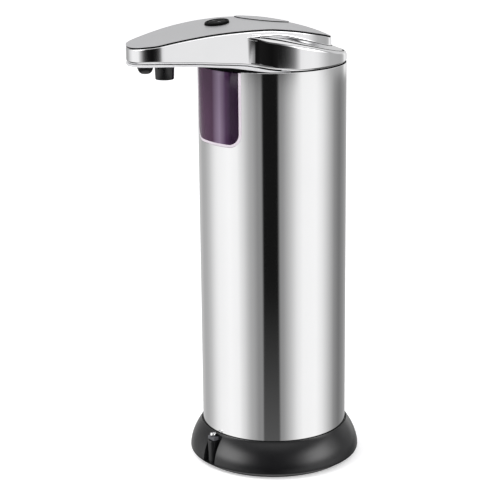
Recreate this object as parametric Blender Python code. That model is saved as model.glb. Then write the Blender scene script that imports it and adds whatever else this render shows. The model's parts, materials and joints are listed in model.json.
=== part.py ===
"""Automatic soap dispenser: a steel tube on a flared base, with a beak-shaped head.

Metres, +Z up. The origin is the middle of the underside, on the tube's axis.
The spout points along -Y.
"""

import math

import bmesh
import bpy
from mathutils import Matrix, Vector

# Shared clearances
GAP = 0.0003
RUNNING_GAP = 0.0001
OVERRUN = 0.002
LAP = 0.0001
WELD = 0.00001
TRIM_ROWS = 32

# Facets round a circle
WIDE_STEPS = 48
SMALL_STEPS = 20
FINE_STEPS = 16

# Tube
TUBE_RADIUS = 0.0325
TUBE_WALL = 0.0006
TUBE_BOTTOM = 0.016
TUBE_TOP = 0.180
TUBE_BORE = TUBE_RADIUS - TUBE_WALL

# Sensor window
WINDOW_HALF_WIDTH = 0.0150
WINDOW_DEPTH = 0.0327
WINDOW_CORNER = 0.0062
WINDOW_FLANGE_MARGIN = 0.0015
WINDOW_FLANGE_WALL = 0.0010

# Base
BASE_FLARE = 0.0059
BASE_RADIUS = TUBE_RADIUS + BASE_FLARE
BASE_TUCK = 0.0030
BASE_FOOT_RADIUS = BASE_RADIUS - BASE_TUCK
BASE_BULGE_HEIGHT = 0.0031
BASE_SLOPE_POWER = 1.15
BASE_RIM_WALL = 0.0008
BASE_RIM_DROP = 0.0001
FOOT_HEIGHT = 0.0010
FOOT_MARGIN = 0.0003
FOOT_WIDTH = 0.0028
FOOT_OUTER_RADIUS = BASE_FOOT_RADIUS - FOOT_MARGIN
FOOT_INNER_RADIUS = FOOT_OUTER_RADIUS - FOOT_WIDTH
GASKET_HEIGHT = 0.0007
GASKET_RIM_GAP = 0.0002
SLEEVE_WALL = 0.0020
SLEEVE_RADIUS = TUBE_BORE - GAP
BASE_BORE = SLEEVE_RADIUS - SLEEVE_WALL
SLEEVE_TOP = 0.024
NOTCH_HALF_WIDTH = 0.0052
NOTCH_DEPTH = 0.0050
NOTCH_DEPTH_RADIUS = BASE_RADIUS - NOTCH_DEPTH
NOTCH_FLOOR = 0.0026
BOSS_RADIUS = 0.0024
BOSS_TOP = 0.0125
BOSS_INSET = 0.0037
BOSS_REACH = BASE_RADIUS - BOSS_INSET
SCREW_SHANK_RADIUS = 0.0009
SCREW_HEAD_RADIUS = 0.0014
SCREW_HEAD_HEIGHT = 0.0013
SCREW_BOTTOM = 0.005
SCREW_RECESS_WIDTH = 0.0005
SCREW_RECESS_DEPTH = 0.0006

# Battery door
DOOR_MARGIN = 0.0014
DOOR_RADIUS = BASE_BORE - DOOR_MARGIN
DOOR_FLOOR = 0.0029
DOOR_LIP_WALL = 0.0016
DOOR_LIP_TOP = 0.0065
LUG_DEPTH = 0.0010
LUG_RADIUS = DOOR_RADIUS + LUG_DEPTH
LUG_HEIGHT = 0.0015
LUG_COUNT = 3
LUG_HALF_ANGLE = math.radians(10.0)
LUG_START_ANGLE = math.radians(30.0)
LUG_SLOT_MARGIN = math.radians(2.0)
DOOR_TURN = math.radians(40.0)
DOOR_PAD_RADIUS = 0.010
DOOR_SEAL_HEIGHT = 0.0010
GRIP_INSET = 0.0092
GRIP_RADIUS = DOOR_RADIUS - GRIP_INSET
GRIP_WIDTH = 0.006
GRIP_DEPTH = 0.0016
GRIP_HALF_ANGLE = math.radians(28.0)

# Batteries and contacts
CELL_RADIUS = 0.00525
CELL_LENGTH = 0.0445
CELL_NUB_RADIUS = 0.0019
CELL_NUB_HEIGHT = 0.0010
CELL_INSET = 0.0092
CELL_RING_RADIUS = BASE_BORE - CELL_INSET
CELL_ANGLE = math.radians(36.4)
CONTACT_THICKNESS = 0.0004
CONTACT_WIDTH = 0.0052
CONTACT_OVERHANG = 0.0026

# Chassis
CHASSIS_MARGIN = 0.0005
CHASSIS_RADIUS = TUBE_BORE - CHASSIS_MARGIN
CHASSIS_SKIRT_WALL = 0.0020
CHASSIS_DECK_HEIGHT = 0.0030
BLOCK_MARGIN = 0.0006
BLOCK_OUTER_RADIUS = BASE_BORE - BLOCK_MARGIN
BLOCK_WALL = 0.0012
BLOCK_END_ANGLE = math.radians(74.5)
CHASSIS_RING_MARGIN = 0.0008
CHASSIS_RING_RADIUS = BASE_BORE - CHASSIS_RING_MARGIN
CHASSIS_RING_WALL = 0.0024
CHASSIS_RING_HEIGHT = 0.0020
TAB_HALF_WIDTH = 0.0022
TAB_THICKNESS = 0.0014
TAB_INSET = 0.0024
TAB_REACH = BASE_RADIUS - TAB_INSET
RIB_DEPTH = 0.0024
RIB_MARGIN = 0.0002
RIB_OUTER = CHASSIS_RADIUS - RIB_MARGIN
CHASSIS_LAP = 0.0004

# Pump and motor
PUMP_Y = -0.004
GEAR_TEETH = 10
GEAR_PITCH_RADIUS = 0.0045
GEAR_TIP_RADIUS = 0.0052
GEAR_ROOT_RADIUS = 0.0035
GEAR_PRESSURE_ANGLE = math.radians(25.0)
GEAR_BACKLASH = 0.0003
GEAR_HEIGHT = 0.0038
PUMP_WALL = 0.0015
PUMP_FLOOR = 0.0030
PUMP_COVER_HEIGHT = 0.0030
PORT_RADIUS = 0.0016
PORT_OFFSET = 0.0031
SPIGOT_RADIUS = 0.0030
SPIGOT_ABOVE_FLOOR = 0.0022
BARB_RADIUS = 0.0022
BARB_BORE = 0.0011
BARB_LENGTH = 0.0070
SHAFT_RADIUS = 0.0010
MOTOR_RADIUS = 0.0100
MOTOR_LENGTH = 0.0240
MOTOR_BOSS_RADIUS = 0.0030
MOTOR_BOSS_HEIGHT = 0.0012
MOTOR_CAP_HEIGHT = 0.0032
MOTOR_CAP_RADIUS = 0.0097
INLET_SEAL_RADIUS = 0.0057
INLET_SEAL_HEIGHT = 0.0020
STRAINER_WALL = 0.0010
STRAINER_HEIGHT = 0.0060

# Reservoir
TANK_MARGIN = 0.0006
TANK_RADIUS = TUBE_BORE - TANK_MARGIN
TANK_WALL = 0.0014
TANK_FLOOR = 0.0020
TANK_TOP = 0.1658
TANK_FLAT_INSET = 0.0108
TANK_FLAT = TANK_RADIUS - TANK_FLAT_INSET
TANK_GASKET_HEIGHT = 0.0007
TANK_COVER_HEIGHT = 0.0020
TANK_LIP_DEPTH = 0.0030
NECK_BORE = 0.0080
NECK_WALL = 0.0013
NECK_COLLAR_WALL = 0.0014
NECK_COLLAR_HEIGHT = 0.0050
NECK_SEAL_HEIGHT = 0.0008

# Head outline in plan
ARM_REACH = 0.0733
ARM_NOSE_RADIUS = 0.0112
ARM_REAR_INSET = 0.0067
ARM_REAR_RADIUS = TUBE_RADIUS - ARM_REAR_INSET
FLANK_INSET = 0.0001
BLEND_LOW_RADIUS = 0.0140
BLEND_HIGH_RADIUS = 0.0120

# Head heights above the tube's top, as shares of HEAD_RISE at shares of ARM_REACH
HEAD_RISE = 0.0200
SEAM_SHARES = [
    (-1.0, 0.645), (-0.965, 0.675), (-0.920, 0.697), (-0.835, 0.747), (-0.735, 0.798),
    (-0.600, 0.851), (-0.480, 0.877), (-0.360, 0.888), (-0.250, 0.882), (-0.200, 0.867),
    (-0.114, 0.828), (-0.025, 0.773), (0.088, 0.686), (0.153, 0.632), (0.352, 0.455),
]
GROOVE_SHARES = [
    (-1.0, 0.322), (-0.960, 0.340), (-0.900, 0.340), (-0.800, 0.311), (-0.665, 0.274),
    (-0.500, 0.209), (-0.386, 0.151), (-0.322, 0.100), (-0.279, 0.066), (-0.236, 0.050),
    (-0.190, 0.040), (-0.120, 0.0), (0.5, 0.0),
]
UNDERSIDE_SHARES = [
    (-1.0, 0.250), (-0.925, 0.262), (-0.816, 0.241), (-0.680, 0.207), (-0.562, 0.160),
    (-0.479, 0.1255), (-0.413, 0.082), (-0.353, 0.040), (-0.307, 0.012), (-0.270, 0.0), (0.5, 0.0),
]
RIM_SHARES = [
    (-0.600, 0.830), (-0.420, 0.775), (-0.327, 0.735), (-0.250, 0.685), (-0.190, 0.635),
    (-0.124, 0.576), (-0.048, 0.513), (0.068, 0.415), (0.194, 0.320), (0.300, 0.255), (0.450, 0.200),
]
RIM_FILLET = 0.0018
DECK_RISE = 0.0029
DECK_INNER_INSET = 0.0090
SHELL_WALL = 0.0016

# Top panel
PANEL_EDGE = 0.0002
PANEL_THICKNESS = 0.0026
PANEL_RIB_DEPTH = 0.0015
PANEL_RIB_WALL = 0.0012
CROWN_SHARES = [
    (-1.0, 0.0), (-0.620, 0.012), (-0.470, 0.034), (-0.360, 0.072), (-0.250, 0.102),
    (-0.120, 0.115), (0.360, 0.115),
]
CROWN_RING_SHARES = [0.05, 0.16, 0.36, 0.62]

# Filler lid
LID_Y = -0.0055
LID_RADIUS = 0.0115
LID_RAISE = 0.0004
LID_SINK = 0.0009
PLUG_RADIUS = 0.0062
PLUG_DEPTH = 0.0065
LID_SEAL_WIDTH = 0.0011
LID_SEAL_TOP = 0.0014
LID_SEAL_BOTTOM = 0.0024
SCOOP_Y = 0.0096
SCOOP_RADIUS = 0.0060
SCOOP_DEPTH = 0.0010
SCOOP_RING_SHARES = [0.3, 0.6, 0.85, 1.06]

# Buttons
BUTTON_Y = -0.0294
BEZEL_RADIUS = 0.0052
BEZEL_WIDTH = 0.00095
BEZEL_RAISE = 0.0010
BEZEL_SINK = 0.0010
BUTTON_SPLIT = 0.0005
BUTTON_RAISE = 0.0009
BUTTON_LENGTH = 0.0027
BUTTON_TRAVEL = 0.0006
SWITCH_SIZE = 0.0044
SWITCH_HEIGHT = 0.0015
SWITCH_SPACING = 0.0050
BOARD_THICKNESS = 0.0012
BUTTON_BOARD_HALF_WIDTH = 0.0080
BUTTON_BOARD_AHEAD = 0.0058
BUTTON_BOARD_BEHIND = 0.0050
BUTTON_BOARD_FRONT = BUTTON_BOARD_AHEAD - BUTTON_Y
BUTTON_BOARD_BACK = -BUTTON_Y - BUTTON_BOARD_BEHIND
BOARD_POST_RADIUS = 0.0014
BOARD_POST_X = 0.0064
BOARD_POST_AHEAD = 0.0041
BOARD_POST_Y = BUTTON_Y - BOARD_POST_AHEAD

# Underplate
BAND_END = -0.0125
PLATE_RING_WALL = 0.0034
PLATE_RING_HEIGHT = 0.0024
PLATE_RIB_WALL = 0.0020
PLATE_LEDGE_HEIGHT = 0.0010
PLATE_SPIGOT_WALL = 0.0019
PLATE_SPIGOT_DEPTH = 0.0060
PLATE_SPIGOT_GAP = 0.0004
PLATE_NOTCH_MARGIN = 0.0020
HEAD_SCREW_INSET = 0.0099
HEAD_SCREW_X = TUBE_RADIUS - HEAD_SCREW_INSET
HEAD_SCREW_Y = 0.0080
HEAD_SCREW_TAB = 0.0036
HEAD_SCREW_BOSS = 0.0028
HEAD_SCREW_SHANK = 0.0010
HEAD_SCREW_HEAD = 0.0020
HEAD_SCREW_HEAD_HEIGHT = 0.0014
HEAD_SCREW_GRIP = 0.0024

# Outlet and downward sensor
NOZZLE_SETBACK = 0.00715
NOZZLE_Y = NOZZLE_SETBACK - ARM_REACH
NOZZLE_RADIUS = 0.0034
NOZZLE_DROP = 0.0035
NOZZLE_BORE = 0.0019
NOZZLE_MOUTH = 0.0010
NOZZLE_MOUTH_HEIGHT = 0.0008
NOZZLE_FLANGE = 0.0044
NOZZLE_FLANGE_AHEAD = 0.0040
NOZZLE_FLANGE_BEHIND = 0.0039
NOZZLE_FLANGE_FRONT = NOZZLE_FLANGE_AHEAD - NOZZLE_Y
NOZZLE_FLANGE_BACK = -NOZZLE_Y - NOZZLE_FLANGE_BEHIND
NOZZLE_FLANGE_HEIGHT = 0.0010
NOZZLE_BARB_RADIUS = 0.0016
NOZZLE_BARB_BORE = 0.0008
NOZZLE_BARB_LENGTH = 0.0048
NOZZLE_BARB_LIFT = 0.0030
VALVE_HEIGHT = 0.0030
BARREL_SETBACK = 0.0167
BARREL_Y = BARREL_SETBACK - ARM_REACH
BARREL_RADIUS = 0.0042
BARREL_TAPER = 0.0003
BARREL_BOTTOM = 0.1784
BARREL_BORE = 0.0030
BARREL_FLANGE = 0.0049
BARREL_FLANGE_HEIGHT = 0.0009
LENS_RECESS = 0.0008
LENS_THICKNESS = 0.0015

# Sensor board behind the window
BOARD_INSET = 0.0061
BOARD_FACE = TUBE_BORE - BOARD_INSET
BOARD_HALF_WIDTH = 0.0110
BOARD_BOTTOM = 0.150
BOARD_TOP = 0.177
SHROUD_WALL = 0.0011
EYE_SPACING = 0.0152
EYE_RADIUS = 0.0025
EYE_HEIGHT = 0.160
EYE_INSET = 0.0028
EYE_FRONT = TUBE_BORE - EYE_INSET
EYE_DOME = 0.0022

# Hose and leads
HOSE_RADIUS = 0.0016
HOSE_INSET = 0.0093
HOSE_CHANNEL = TUBE_BORE - HOSE_INSET
HOSE_BEND = 0.0090
CORD_STEPS = 5
LEAD_RADIUS = 0.0008
LEAD_BEND = 0.0050
LEAD_X = 0.0065
LEAD_INSET = 0.0069
LEAD_Y = LEAD_INSET - TUBE_BORE
ARM_DEPTH = 0.0150
LEAD_HOLE_MARGIN = 0.0006

# Heights that follow from the sizes above
BASE_BOTTOM = FOOT_HEIGHT + GAP
GASKET_TOP = TUBE_BOTTOM - GAP
GASKET_SEAT = GASKET_TOP - GASKET_HEIGHT - GAP
GASKET_RADIUS = TUBE_RADIUS + BASE_RIM_WALL - GAP
DOOR_FLANGE_TOP = DOOR_LIP_TOP - LUG_HEIGHT - GAP
DOOR_FLOOR_TOP = BASE_BOTTOM + DOOR_FLOOR
CELL_BOTTOM = DOOR_FLOOR_TOP + CONTACT_THICKNESS + GAP + GAP
CELL_TOP = CELL_BOTTOM + CELL_LENGTH
TOP_CONTACT = CELL_TOP + GAP
CELL_BORE_TOP = TOP_CONTACT + CONTACT_THICKNESS + GAP
DECK_BOTTOM = CELL_BORE_TOP + BLOCK_WALL
DECK_TOP = DECK_BOTTOM + CHASSIS_DECK_HEIGHT
BLOCK_BOTTOM = DOOR_LIP_TOP + GAP
DOOR_SEAL_TOP = DOOR_LIP_TOP + GAP + DOOR_SEAL_HEIGHT
COVER_TOP = DECK_BOTTOM - GAP
COVER_BOTTOM = COVER_TOP - PUMP_COVER_HEIGHT
HOUSING_TOP = COVER_BOTTOM - GAP
CAVITY_BOTTOM = HOUSING_TOP - GAP - GEAR_HEIGHT
HOUSING_BOTTOM = CAVITY_BOTTOM - PUMP_FLOOR
PUMP_BORE = GEAR_TIP_RADIUS + GAP
INLET_Y = PUMP_Y + PORT_OFFSET
OUTLET_Y = PUMP_Y - PORT_OFFSET
OUTLET_Z = CAVITY_BOTTOM + GEAR_HEIGHT / 2
PUMP_HALF_LENGTH = GEAR_PITCH_RADIUS + PUMP_BORE + PUMP_WALL
PUMP_HALF_WIDTH = PUMP_BORE + PUMP_WALL
BARB_END_Y = PUMP_Y - PUMP_HALF_WIDTH - BARB_LENGTH
MOTOR_TOP = HOUSING_BOTTOM - GAP
MOTOR_BOTTOM = MOTOR_TOP - MOTOR_LENGTH
MOTOR_CAP_BOTTOM = MOTOR_BOTTOM - GAP - MOTOR_CAP_HEIGHT
MOTOR_X = -GEAR_PITCH_RADIUS
TANK_BOTTOM = DECK_TOP + GAP
SPIGOT_TOP = TANK_BOTTOM + TANK_FLOOR + SPIGOT_ABOVE_FLOOR
TANK_COVER_BOTTOM = TANK_TOP + GAP + TANK_GASKET_HEIGHT + GAP
TANK_COVER_TOP = TANK_COVER_BOTTOM + TANK_COVER_HEIGHT
NECK_RADIUS = NECK_BORE + NECK_WALL
NECK_SEAL_TOP = TANK_COVER_TOP + GAP + NECK_SEAL_HEIGHT
PLATE_BOTTOM = TUBE_TOP + GAP
SHELL_BOTTOM_LIFT = GAP
PLATE_BORE = TUBE_RADIUS - SHELL_WALL - GAP - PLATE_RING_WALL
WINDOW_BOTTOM = TUBE_TOP - WINDOW_DEPTH
BOARD_BACK = BOARD_FACE - BOARD_THICKNESS
SHROUD_BACK = BOARD_FACE + GAP


def material(name, colour, roughness, metallic=0.0, alpha=1.0):
    """A Principled material in one colour."""
    made = bpy.data.materials.new(name)
    made.use_nodes = True
    shader = made.node_tree.nodes["Principled BSDF"]
    shader.inputs["Base Color"].default_value = (*colour, 1.0)
    shader.inputs["Roughness"].default_value = roughness
    shader.inputs["Metallic"].default_value = metallic
    shader.inputs["Alpha"].default_value = alpha
    return made


def clear_scene():
    for old in list(bpy.data.objects):
        bpy.data.objects.remove(old)


def circle(radius, steps, centre=(0.0, 0.0)):
    """Points round a circle; small ones have no corner on the middle plane."""
    turn = 2 * math.pi / steps
    first = turn / 2 if steps <= SMALL_STEPS else 0.0
    return [
        (
            centre[0] + radius * math.cos(first + k * turn),
            centre[1] + radius * math.sin(first + k * turn),
        )
        for k in range(steps)
    ]


def rectangle(x_low, x_high, y_low, y_high):
    return [(x_low, y_low), (x_high, y_low), (x_high, y_high), (x_low, y_high)]


def ring(points, height):
    """Lifts plan points to a height, which may be a function of x and y."""
    if callable(height):
        return [Vector((x, y, height(x, y))) for x, y in points]
    return [Vector((x, y, height)) for x, y in points]


def spine(points):
    """Plan points pulled sideways onto the plane of symmetry."""
    return [(0.0, y) for x, y in points]


def finished(name, shape, finish):
    """Turns a closed shape into an object, with doubled points merged."""
    bmesh.ops.remove_doubles(shape, verts=shape.verts, dist=WELD)
    bmesh.ops.dissolve_degenerate(shape, edges=shape.edges, dist=WELD)
    bmesh.ops.recalc_face_normals(shape, faces=shape.faces)
    mesh = bpy.data.meshes.new(name)
    shape.to_mesh(mesh)
    shape.free()
    made = bpy.data.objects.new(name, mesh)
    made.data.materials.append(finish)
    bpy.context.collection.objects.link(made)
    return made


def solid(name, rings, finish, looped=False):
    """One closed body through rings of equal length, capped or looped."""
    shape = bmesh.new()
    rows = [[shape.verts.new(point) for point in row] for row in rings]
    count = len(rings[0])
    pairs = list(zip(rows, rows[1:]))
    if looped:
        pairs.append((rows[-1], rows[0]))
    for lower, upper in pairs:
        for k in range(count):
            after = (k + 1) % count
            shape.faces.new((lower[k], lower[after], upper[after], upper[k]))
    if not looped:
        for end in (rows[0], rows[-1]):
            shape.faces.new(end)
    return finished(name, shape, finish)


def spined_solid(name, rings, finish):
    """A closed body whose first and last rings are seams on the plane of symmetry."""
    shape = bmesh.new()
    rows = [[shape.verts.new(point) for point in row] for row in rings]
    count = len(rings[0])
    for lower, upper in zip(rows, rows[1:]):
        for k in range(count):
            after = (k + 1) % count
            shape.faces.new((lower[k], lower[after], upper[after], upper[k]))
    return finished(name, shape, finish)


def prism(name, points, low, high, finish):
    return solid(name, [ring(points, low), ring(points, high)], finish)


def box(name, x_range, y_range, z_range, finish):
    return prism(name, rectangle(*x_range, *y_range), z_range[0], z_range[1], finish)


def turned(name, profile, finish, looped=False, steps=WIDE_STEPS, centre=(0.0, 0.0)):
    """A profile of (radius, height) turned about a vertical axis."""
    rings = [ring(circle(radius, steps, centre), height) for radius, height in profile]
    return solid(name, rings, finish, looped)


def disc(name, radius, low, high, finish, steps=SMALL_STEPS, centre=(0.0, 0.0)):
    return turned(name, [(radius, low), (radius, high)], finish, False, steps, centre)


def hoop(name, inner, outer, low, high, finish, steps=WIDE_STEPS, centre=(0.0, 0.0)):
    profile = [(inner, low), (outer, low), (outer, high), (inner, high)]
    return turned(name, profile, finish, True, steps, centre)


def rod(name, start, end, radius, finish, steps=SMALL_STEPS):
    """A round bar from one point to another."""
    start = Vector(start)
    end = Vector(end)
    turn = (end - start).to_track_quat("Z", "Y")
    around = circle(radius, steps)
    rings = [[place + turn @ Vector((x, y, 0.0)) for x, y in around] for place in (start, end)]
    return solid(name, rings, finish)


def combine(target, tool, operation):
    """Applies a Boolean with a tool, which is then removed."""
    step = target.modifiers.new("shape", "BOOLEAN")
    step.operation = operation
    step.solver = "EXACT"
    step.object = tool
    bpy.context.view_layer.update()
    bpy.context.view_layer.objects.active = target
    bpy.ops.object.modifier_apply(modifier=step.name)
    bpy.data.objects.remove(tool)


def cut(target, *tools):
    for tool in tools:
        combine(target, tool, "DIFFERENCE")


def join(target, *tools):
    for tool in tools:
        combine(target, tool, "UNION")


def keep(target, tool):
    combine(target, tool, "INTERSECT")


def split_flat(made):
    """Splits a piece's bent faces into triangles, so that each one is flat."""
    shape = bmesh.new()
    shape.from_mesh(made.data)
    bmesh.ops.triangulate(shape, faces=shape.faces)
    shape.to_mesh(made.data)
    shape.free()


def set_origin(made, point):
    """Moves an object's origin to a point, with its shape left in place."""
    made.data.transform(Matrix.Translation(-Vector(point)))
    made.location = point


def smooth_value(table, share):
    """A smooth curve through a table of (place, value) shares."""
    last = len(table) - 1
    low = 0
    while low < last - 1 and table[low + 1][0] < share:
        low += 1
    near, far = table[low], table[low + 1]
    span = far[0] - near[0]

    def slope(index):
        before = table[max(index - 1, 0)]
        beyond = table[min(index + 1, last)]
        return (beyond[1] - before[1]) / (beyond[0] - before[0])

    t = (share - near[0]) / span
    if t > 1.0:
        return far[1] + slope(last) * (share - far[0])
    if t < 0.0:
        return near[1] + slope(0) * (share - near[0])
    start, end = slope(low) * span, slope(low + 1) * span
    rise = far[1] - near[1]
    return near[1] + t * (start + t * (3 * rise - 2 * start - end + t * (start + end - 2 * rise)))


def head_height(table, y):
    return TUBE_TOP + HEAD_RISE * max(smooth_value(table, y / ARM_REACH), 0.0)


def seam_height(x, y):
    """Top edge of the chrome flank, where the satin panel starts."""
    return head_height(SEAM_SHARES, y)


def groove_height(x, y):
    """Lower edge of the chrome flank, where the pale underplate starts."""
    return head_height(GROOVE_SHARES, y)


def shell_bottom(x, y):
    return groove_height(x, y) + SHELL_BOTTOM_LIFT


def underside_height(x, y):
    return head_height(UNDERSIDE_SHARES, y) + GAP


def plate_top(x, y):
    """Top of the underplate's band, never thinner than a small lip."""
    return max(groove_height(x, y), underside_height(x, y) + GAP)


def rim_height(x, y):
    """Top of the collar's wall, which falls towards the back."""
    return head_height(RIM_SHARES, y)


def shifted(height, offset):
    """A height function moved up by an offset."""
    return lambda x, y: height(x, y) + offset


def flank_angle():
    """Angle of the arm's side, tangent to the round rear end and the round nose."""
    return math.asin((ARM_REAR_RADIUS - ARM_NOSE_RADIUS) / (ARM_REACH - ARM_NOSE_RADIUS))


def arc(centre, radius, start, end, count):
    """Points on an arc, with angles measured from +X."""
    return [
        (
            centre[0] + radius * math.cos(start + (end - start) * k / count),
            centre[1] + radius * math.sin(start + (end - start) * k / count),
        )
        for k in range(count + 1)
    ]


def mirrored(half):
    """A full outline from its right half, whose ends lie on the middle plane."""
    other = [(-x, y) for x, y in half[1:-1]]
    return half + other[::-1]


def arm_outline(inset=0.0):
    """The arm in plan: round rear end, straight flanks and a round nose."""
    angle = flank_angle()
    nose_centre = (0.0, ARM_NOSE_RADIUS - ARM_REACH)
    rear = arc((0.0, 0.0), ARM_REAR_RADIUS - inset, math.pi / 2, -angle, 14)
    nose = arc(nose_centre, ARM_NOSE_RADIUS - inset, -angle, -math.pi / 2, 9)
    start, end = rear[-1], nose[0]
    flank = [
        (start[0] + (end[0] - start[0]) * k / 12, start[1] + (end[1] - start[1]) * k / 12)
        for k in range(1, 12)
    ]
    half = rear + flank + nose
    half[0] = (0.0, half[0][1])
    half[-1] = (0.0, half[-1][1])
    return mirrored(half)


def arm_half_width(y):
    """Half the arm's width at a place along it."""
    points = arm_outline()
    half = points[: len(points) // 2 + 1]
    for back, front in zip(half, half[1:]):
        if back[1] >= y > front[1]:
            share = (back[1] - y) / (back[1] - front[1])
            return back[0] + (front[0] - back[0]) * share
    return 0.0


def panel_height(x, y):
    """The crowned top surface of the satin panel."""
    width = max(arm_half_width(y), GAP)
    across = min(abs(x) / width, 1.0)
    crown = smooth_value(CROWN_SHARES, y / ARM_REACH) * width
    return seam_height(x, y) + GAP / 2 + PANEL_EDGE + crown * (1 - across**2)


def collar_outline(inset, blend):
    """The collar in plan, with a hollow blend into the arm's flanks."""
    angle = flank_angle()
    flank = ARM_REAR_RADIUS - FLANK_INSET
    out = (math.cos(angle), -math.sin(angle))
    ahead = (-math.sin(angle), -math.cos(angle))
    along = math.sqrt((TUBE_RADIUS + blend) ** 2 - (flank + blend) ** 2)
    hub = (
        out[0] * (flank + blend) + ahead[0] * along,
        out[1] * (flank + blend) + ahead[1] * along,
    )
    meet = math.atan2(hub[1], hub[0])
    around = arc((0.0, 0.0), TUBE_RADIUS - inset, math.pi / 2, meet, 20)
    hollow = arc(hub, blend + inset, meet + math.pi, math.pi - angle, 6)
    half = around + hollow[1:]
    half[0] = (0.0, half[0][1])
    half.append((0.0, half[-1][1]))
    return mirrored(half)


def head_outline():
    """Collar and arm in one plan outline, as seen from below."""
    collar = collar_outline(0.0, BLEND_LOW_RADIUS)
    collar_half = collar[: len(collar) // 2]
    arm = arm_outline()
    arm_half = arm[: len(arm) // 2 + 1]
    ahead = [point for point in arm_half if point[1] < collar_half[-1][1] - WELD]
    return mirrored(collar_half + ahead)


def blend_radius(share):
    return BLEND_LOW_RADIUS + (BLEND_HIGH_RADIUS - BLEND_LOW_RADIUS) * share


def outline_body(name, edge, low, high, finish):
    """A plan outline carried between two height functions."""
    rings = [ring(spine(edge), low), ring(edge, low), ring(edge, high), ring(spine(edge), high)]
    return spined_solid(name, rings, finish)


def arm_body(name, inset, low, high, finish):
    return outline_body(name, arm_outline(inset), low, high, finish)


def collar_body(name, inset, drop, low, finish):
    """The round collar with its sloped deck, inset and lowered for the hollow inside it."""
    wall_top = shifted(rim_height, -RIM_FILLET - drop)
    deck_edge = shifted(rim_height, -drop)
    deck_inner = shifted(rim_height, DECK_RISE - drop)
    wide = collar_outline(inset, BLEND_LOW_RADIUS)
    middle = collar_outline(inset, blend_radius(0.5))
    upper = collar_outline(inset, BLEND_HIGH_RADIUS)
    rounded = collar_outline(inset + RIM_FILLET * (1 - math.sqrt(0.5)), BLEND_HIGH_RADIUS)
    deck = collar_outline(inset + RIM_FILLET, BLEND_HIGH_RADIUS)
    inner = collar_outline(inset + DECK_INNER_INSET, BLEND_HIGH_RADIUS)

    def halfway(x, y):
        return (low(x, y) + wall_top(x, y)) / 2

    rings = [
        ring(spine(wide), low),
        ring(wide, low),
        ring(middle, halfway),
        ring(upper, wall_top),
        ring(rounded, shifted(rim_height, -RIM_FILLET * (1 - math.sqrt(0.5)) - drop)),
        ring(deck, deck_edge),
        ring(inner, deck_inner),
        ring(spine(inner), deck_inner),
    ]
    return spined_solid(name, rings, finish)


def patch(name, y_centre, inner, outer, low, high, finish, steps=36):
    """A disc or ring that follows the panel's crown, between two offsets from it."""
    under = shifted(panel_height, low)
    over = shifted(panel_height, high)
    centre = (0.0, y_centre)
    if inner:
        rims = [circle(inner, steps, centre), circle(outer, steps, centre)]
        rings = [
            ring(rims[0], under), ring(rims[1], under), ring(rims[1], over), ring(rims[0], over),
        ]
        return solid(name, rings, finish, looped=True)
    rims = [circle(outer * share, steps, centre) for share in (0.25, 0.65, 1.0)]
    rings = [ring(rim, under) for rim in rims] + [ring(rim, over) for rim in rims[::-1]]
    return solid(name, rings, finish)


def scoop(name, finish):
    """The dish behind the lid that lets a fingertip lift it."""
    rings = []
    for share in SCOOP_RING_SHARES:
        rim = circle(SCOOP_RADIUS * share, 36, (0.0, SCOOP_Y))
        rings.append(ring(rim, shifted(panel_height, -SCOOP_DEPTH * (1 - share**2))))
    rings.append(ring(rim, shifted(panel_height, OVERRUN)))
    return solid(name, rings, finish)


def upright_slot(name, half_width, bottom, top, corner, finish):
    """A prism along Y with two round bottom corners, to cut the tube's front."""
    inner = half_width - corner
    right = arc((inner, bottom + corner), corner, -math.pi / 2, 0.0, 6)
    left = arc((-inner, bottom + corner), corner, math.pi, 1.5 * math.pi, 6)
    outline = right + [(half_width, top), (-half_width, top)] + left
    front = -TUBE_RADIUS - OVERRUN
    rings = [[Vector((x, y, z)) for x, z in outline] for y in (front, 0.0)]
    return solid(name, rings, finish)


def tank_outline(inset=0.0):
    """A circle with a flat at the front, which leaves a channel for the hose."""
    radius = TANK_RADIUS - inset
    flat = TANK_FLAT - inset
    end = -math.asin(flat / radius)
    half = arc((0.0, 0.0), radius, math.pi / 2, end, 16)
    half[0] = (0.0, half[0][1])
    half.append((0.0, -flat))
    return mirrored(half)


def polar(radius, angle):
    """A plan point at an angle from +Y, towards +X."""
    return (radius * math.sin(angle), radius * math.cos(angle))


def cell_places():
    return [polar(CELL_RING_RADIUS, (k - 1.5) * CELL_ANGLE) for k in range(4)]


def sector(inner, outer, middle, half_angle, steps):
    """Part of a ring in plan, about an angle from +X."""
    outside = arc((0.0, 0.0), outer, middle - half_angle, middle + half_angle, steps)
    inside = arc((0.0, 0.0), inner, middle + half_angle, middle - half_angle, steps)
    return outside + inside


def bar_between(name, first, second, overhang, width, low, high, finish):
    """A flat strip from one plan point to another, longer at both ends."""
    a, b = Vector(first), Vector(second)
    along = (b - a).normalized()
    side = Vector((-along.y, along.x)) * (width / 2)
    a = a - along * overhang
    b = b + along * overhang
    points = [tuple(a - side), tuple(b - side), tuple(b + side), tuple(a + side)]
    return prism(name, points, low, high, finish)


def make_tube(steel):
    tube = hoop("steel_tube", TUBE_BORE, TUBE_RADIUS, TUBE_BOTTOM, TUBE_TOP, steel)
    opening = upright_slot(
        "opening", WINDOW_HALF_WIDTH, WINDOW_BOTTOM, TUBE_TOP + OVERRUN, WINDOW_CORNER, steel
    )
    cut(tube, opening)


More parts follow.
